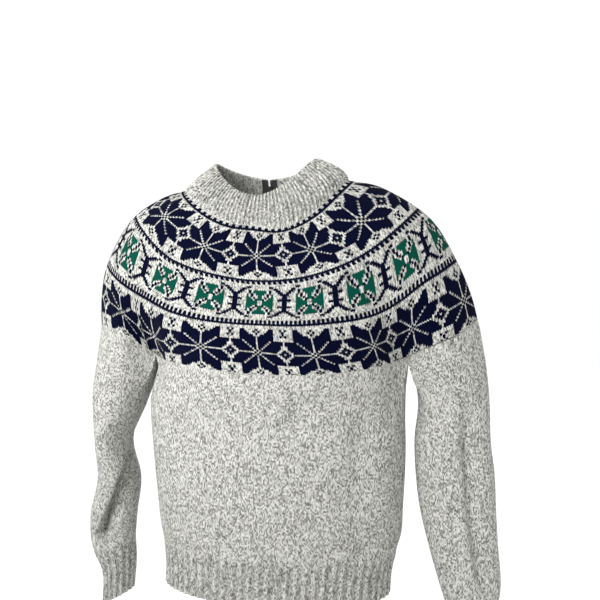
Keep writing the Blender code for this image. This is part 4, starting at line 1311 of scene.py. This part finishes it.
def teeth_tree():
    """The node tree: an object on every point, turned, made real and given its finish."""
    tree = bpy.data.node_groups.new("teeth_on_points", "GeometryNodeTree")
    for name, way, kind in (("Geometry", "INPUT", "Geometry"), ("Tooth", "INPUT", "Object"),
                            ("Geometry", "OUTPUT", "Geometry")):
        tree.interface.new_socket(name, in_out=way, socket_type="NodeSocket" + kind)
    given = add(tree, "NodeGroupInput")
    down, out = (add(tree, "GeometryNodeInputNamedAttribute", {"Name": name},
                     data_type="FLOAT_VECTOR").outputs["Attribute"] for name in ("down", "out"))
    turn = add(tree, "FunctionNodeAxesToRotation", {0: down, 1: out}, primary_axis="Z",
               secondary_axis="Y")
    shape = add(tree, "GeometryNodeObjectInfo", {"Object": given.outputs["Tooth"]})
    copies = add(tree, "GeometryNodeInstanceOnPoints",
                 {"Points": given.outputs["Geometry"], "Instance": shape.outputs["Geometry"],
                  "Rotation": turn})
    real = add(tree, "GeometryNodeRealizeInstances", {0: copies})
    painted = add(tree, "GeometryNodeSetMaterial", {"Geometry": real, "Material": TOOTH_METAL})
    add(tree, "NodeGroupOutput", {0: painted})
    return tree


def teeth():
    """Both rows of teeth as one plain mesh, made by the node tree from a point for each."""
    places, downs, outs = tooth_places()
    seeds = bpy.data.meshes.new("teeth_places")
    seeds.from_pydata((places * MM).tolist(), [], [])
    for name, values in (("down", downs), ("out", outs)):
        layer = seeds.attributes.new(name=name, type="FLOAT_VECTOR", domain="POINT")
        layer.data.foreach_set("vector", values.ravel().astype(np.float32))
    holder, tooth, tree = put_in_scene("teeth_places", seeds), tooth_block(), teeth_tree()
    step = holder.modifiers.new("Teeth", "NODES")
    step.node_group = tree
    socket = next(item.identifier for item in tree.interface.items_tree if item.name == "Tooth")
    step[socket] = tooth
    bpy.context.view_layer.update()
    worked_out = holder.evaluated_get(bpy.context.evaluated_depsgraph_get())
    solid = bpy.data.meshes.new_from_object(worked_out)
    for spare in (holder, tooth):
        bpy.data.objects.remove(spare)
    print("zip_teeth:", len(places), "teeth,", len(solid.polygons), "faces")
    return put_in_scene("zip_teeth", solid)


TOOTH_METAL = shiny_metal("nickel_plated_zip_teeth", "B4B4B0", 0.3)
ZIP_TEETH = teeth()

# %% [markdown]
# ## The slider and its tab
# The slider is two plates joined by a post that parts the teeth, and two lugs carry a
# bar. The tab's eye turns on that bar. Real ones are cast and polished, so every edge
# is rounded: blocks are bevelled, and the eye and the tab are loops of points joined
# into a closed ring, which leaves their holes open without cutting.

# %% Parts of the slider
SLIDER_LENGTH, SLIDER_WIDTH, PLATE, PLATE_CLEAR = 10.0, 6.2, 1.2, 0.3
POST_WIDTH, LUG_INSIDE, LUG_WALL, LUG_LENGTH = 2.0, 2.3, 0.75, 2.6
BAR_HEIGHT, BAR_RADIUS = 1.75, 0.55
EYE_RADIUS, EYE_HOLE, EYE_WIDTH = 1.4, 0.9, 3.8
TAB_WIDTH, TAB_LENGTH, TAB_WALL, TAB_START, TAB_HOLE = 5.0, 20.0, 1.2, 3.2, 1.6
EDGE = 0.2                # how much of each edge is rounded off
NARROWING = 0.8           # the plates' lower end is this much of their width
FLANGE_WIDER, POST_SHARE = 1.35, 0.6   # the inner plate's width and the post's length
LUG_OVER = 0.4            # cast metal left over the bar
NECK_WIDE, NECK_OVER = 0.8, 0.8        # the tab's neck: a share of the eye, and mm inside
ROUND_STEPS, BAR_STEPS = 32, 24        # points round an eye or a hole, and round the bar
CORNER_POWER = 0.4        # how square the tab's outline is: 1 would be a circle
SLIDER_SHARP = math.radians(40)


def zip_frame():
    """Hinge place and axes of the zip: across (+X), out of the cloth, and down the slit."""
    top, middle = neck_rings((0.0, 0.5), from_the_back(np.array([0.0])))[:, 0]
    down = unit(middle - top)
    beside = neck_rings((0.0, 0.5), from_the_back(np.array([SLIT_HALF, -SLIT_HALF])))
    across = (beside[:, 0] - beside[:, 1]).mean(axis=0)
    across = unit(across - down * np.dot(across, down))
    out = np.cross(across, down)
    sink = NECKBAND_WALL + SEAM_GAP - PLATE_CLEAR - PLATE - BAR_HEIGHT
    place = Matrix((across, out, -down)).transposed().to_4x4()
    place.translation = Vector((top + down * SLIDER_DOWN - out * sink) * MM)
    return place


def block(shape, size, centre, narrow=1.0):
    """A bevelled block; 'narrow' scales the width of its lower end."""
    place = Matrix.Translation(Vector(centre) * MM) @ Matrix.Diagonal((*(n * MM for n in size), 1))
    made = bmesh.ops.create_cube(shape, size=1.0, matrix=place)["verts"]
    for corner in made:
        if corner.co.z < centre[2] * MM:
            corner.co.x = centre[0] * MM + (corner.co.x - centre[0] * MM) * narrow
    edges = list(dict.fromkeys(edge for corner in made for edge in corner.link_edges))
    bmesh.ops.bevel(shape, geom=edges, offset=EDGE * MM, segments=2, affect="EDGES")


def ring_body(shape, loops):
    """Join closed loops of points into a ring-shaped body, the last loop to the first."""
    rows = [[shape.verts.new(Vector(point) * MM) for point in loop] for loop in loops]
    for this, following in zip(rows, rows[1:] + rows[:1]):
        for k in range(len(this)):
            after = (k + 1) % len(this)
            shape.faces.new((this[k], this[after], following[after], following[k]))


def chamfered(inner, outer, low, high):
    """Sizes and levels round the section of a ring whose edges are rounded off."""
    return ((inner, low + EDGE), (inner + EDGE, low), (outer - EDGE, low), (outer, low + EDGE),
            (outer, high - EDGE), (outer - EDGE, high), (inner + EDGE, high), (inner, high - EDGE))


def zip_part(name, shape):
    """A shape drawn round the hinge, moved to its place on the zip."""
    bmesh.ops.recalc_face_normals(shape, faces=shape.faces[:])
    shape.transform(zip_frame())
    made = solid_mesh(name, shape, SLIDER_METAL)
    made.set_sharp_from_angle(angle=SLIDER_SHARP)
    print(name, len(made.polygons), "faces")
    return put_in_scene(name, made)


def slider():
    """Two plates, the post between them, two lugs and the bar."""
    shape = bmesh.new()
    outer_middle = -BAR_HEIGHT - PLATE / 2
    inner_middle = outer_middle - PLATE - 2 * PLATE_CLEAR - TAPE_WALL
    post = outer_middle - inner_middle
    block(shape, (SLIDER_WIDTH, PLATE, SLIDER_LENGTH), (0, outer_middle, 0), NARROWING)
    block(shape, (SLIDER_WIDTH * FLANGE_WIDER, PLATE, SLIDER_LENGTH), (0, inner_middle, 0),
          NARROWING)
    block(shape, (POST_WIDTH, post, SLIDER_LENGTH * POST_SHARE), (0, outer_middle - post / 2, 0))
    lug = BAR_HEIGHT + BAR_RADIUS + LUG_OVER + PLATE / 2
    for side in (-1, 1):
        block(shape, (LUG_WALL, lug, LUG_LENGTH),
              (side * (LUG_INSIDE + LUG_WALL / 2), outer_middle + lug / 2, 0))
    bmesh.ops.create_cone(shape, cap_ends=True, segments=BAR_STEPS, radius1=BAR_RADIUS * MM,
                          radius2=BAR_RADIUS * MM, depth=(2 * LUG_INSIDE + LUG_WALL) * MM,
                          matrix=Matrix.Rotation(math.pi / 2, 4, "Y"))
    return zip_part("zip_slider_cast", shape)


def pull_tab():
    """An eye on the bar, a neck, and a flat tab with a round hole near its end."""
    shape = bmesh.new()
    turns = np.linspace(0, 2 * math.pi, ROUND_STEPS, endpoint=False)
    circle = np.stack([np.cos(turns), np.sin(turns)], axis=1)
    eye = [[(x, radius * y, radius * z) for y, z in circle]
           for radius, x in chamfered(EYE_HOLE, EYE_RADIUS, -EYE_WIDTH / 2, EYE_WIDTH / 2)]
    ring_body(shape, eye)
    neck_end = TAB_START + NECK_OVER
    block(shape, (EYE_WIDTH * NECK_WIDE, TAB_WALL, neck_end - EYE_HOLE),
          (0, 0, -(neck_end + EYE_HOLE) / 2))
    hole = -TAB_LENGTH + 2 * TAB_HOLE
    square = np.sign(circle) * np.abs(circle) ** CORNER_POWER
    ends = np.where(square[:, 1] > 0, -TAB_START - hole, hole + TAB_LENGTH)
    outline = square * np.stack([np.full(ROUND_STEPS, TAB_WIDTH / 2), ends], axis=1)
    half = TAB_WALL / 2
    loops = []
    section = ((False, EDGE - half, 0), (False, -half, EDGE), (True, -half, EDGE),
               (True, EDGE - half, 0), (True, half - EDGE, 0), (True, half, EDGE),
               (False, half, EDGE), (False, half - EDGE, 0))
    for on_outline, y, inset in section:
        if on_outline:
            line = outline - np.sign(outline) * inset
        else:
            line = circle * (TAB_HOLE + inset)
        loops.append([(x, y, hole + z) for x, z in line])
    ring_body(shape, loops)
    return zip_part("zip_pull_tab", shape)


SLIDER_METAL = shiny_metal("polished_cast_zip_metal", "D2D2CE", 0.18)
SLIDER, PULL = slider(), pull_tab()

# %% [markdown]
# ## Riding and standing in
# Every piece rides on the garment's body and stands for the solids that it dresses.
# The tab alone turns with the zip's hinge. The teeth have no solid of their own.

# %% Pieces take their places
STANDS_FOR = {
    YOKE: ("yoke", "patterned_wool"),
    NECKBAND: ("neckband", "marled_wool"),
    BODY_FRONT: ("body_front", "marled_wool"),
    BODY_BACK: ("body_back", "marled_wool"),
    SLEEVES["right"]: ("sleeve_right", "marled_wool"),
    SLEEVES["left"]: ("sleeve_left", "marled_wool"),
    HEM: ("hem_rib", "marled_wool"),
    CUFFS["right"]: ("cuff_right", "marled_wool"),
    CUFFS["left"]: ("cuff_left", "marled_wool"),
    TAPES["right"]: ("zip_tape_right", "woven_tape"),
    TAPES["left"]: ("zip_tape_left", "woven_tape"),
    SLIDER: ("zip_slider", "zip_metal"),
    PULL: ("zip_pull", "zip_metal"),
}
for piece, (node, slot) in STANDS_FOR.items():
    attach(piece, "pull_tab" if piece is PULL else BODY)
    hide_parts(node)
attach(ZIP_TEETH, BODY)

# %% [markdown]

# %% [markdown]
# ## Floor and light
# A pale floor far below, a white world that is a little brighter above, and one soft
# light near the front, to the left. Being near, that light fades across the garment,
# and its beam is narrow, so the floor and the world behind stay evenly white.

# %% Floor and light
FLOOR_SIZE, FLOOR_HEIGHT = 12.0, -0.87         # in metres, as are all places below
FLOOR_WHITE = (0.95, 0.95, 0.95, 1)
WORLD_LIGHT, WORLD_TOP = 1.0, 0.25     # strength all round, and how much more straight above
KEY_POWER, KEY_SIZE, KEY_SPREAD = 3.8, 0.8, math.radians(55)
KEY_PLACE, KEY_AIM = Vector((-0.8, -1.2, 0.35)), Vector((-0.12, 0, -0.12))

bpy.ops.mesh.primitive_plane_add(size=FLOOR_SIZE, location=(0, 0, FLOOR_HEIGHT))
floor = bpy.context.object
floor.name = "pale_floor"
floor_paint, _, _ = new_material("pale_paper", Base_Color=FLOOR_WHITE, Roughness=0.9)
floor.data.materials.append(floor_paint)

world = bpy.data.worlds.new("white_studio")
bpy.context.scene.world = world
world.use_nodes = True
tree = world.node_tree
way = add(tree, "ShaderNodeTexCoord").outputs["Generated"]
above = add(tree, "ShaderNodeSeparateXYZ", {0: way}).outputs[2]
upper = add(tree, MATH, {0: above, 1: 0.0}, operation="MAXIMUM")
strength = add(tree, MATH, {0: upper, 1: WORLD_TOP, 2: WORLD_LIGHT}, operation="MULTIPLY_ADD")
background = tree.nodes["Background"]
background.inputs["Color"].default_value = (1, 1, 1, 1)
tree.links.new(strength.outputs[0], background.inputs["Strength"])


def pointed(name, data, place, way):
    """A light or camera in the scene, at a place and facing one way."""
    made = put_in_scene(name, data)
    made.location = place
    made.rotation_euler = way.to_track_quat("-Z", "Y").to_euler()
    return made


key = bpy.data.lights.new("key_softbox", "AREA")
key.energy, key.size, key.spread = KEY_POWER, KEY_SIZE, KEY_SPREAD
pointed("key_softbox", key, KEY_PLACE, KEY_AIM - KEY_PLACE)
print("floor", FLOOR_SIZE, "m wide,", KEY_POWER, "W in the key light")

# %% [markdown]
# ## Camera
# The camera stands at chest height, a little to the right of the garment's front, and
# looks nearly level. The scene's own colours go straight to the picture, with no film
# curve that would grey the white and lift the navy.

# %% Camera
AZIMUTH, ELEVATION, DISTANCE = math.radians(12.5), math.radians(1.0), 1.3
LENS, FILM = 48.75, 36.0               # mm
ASIDE_OF_MIDDLE, AIM_HEIGHT = 0.0304, -0.184   # the aim, off the garment's middle line

aim = Vector((ASIDE_OF_MIDDLE * math.cos(AZIMUTH), ASIDE_OF_MIDDLE * math.sin(AZIMUTH),
              AIM_HEIGHT))
towards = Vector((math.sin(AZIMUTH) * math.cos(ELEVATION),
                  -math.cos(AZIMUTH) * math.cos(ELEVATION), math.sin(ELEVATION)))
lens = bpy.data.cameras.new("product_camera")
lens.lens, lens.sensor_width = LENS, FILM
camera = pointed("product_camera", lens, aim + towards * DISTANCE, -towards)
bpy.context.scene.camera = camera
bpy.context.scene.view_settings.view_transform = "Standard"
print("camera", DISTANCE, "m away with a", LENS, "mm lens")
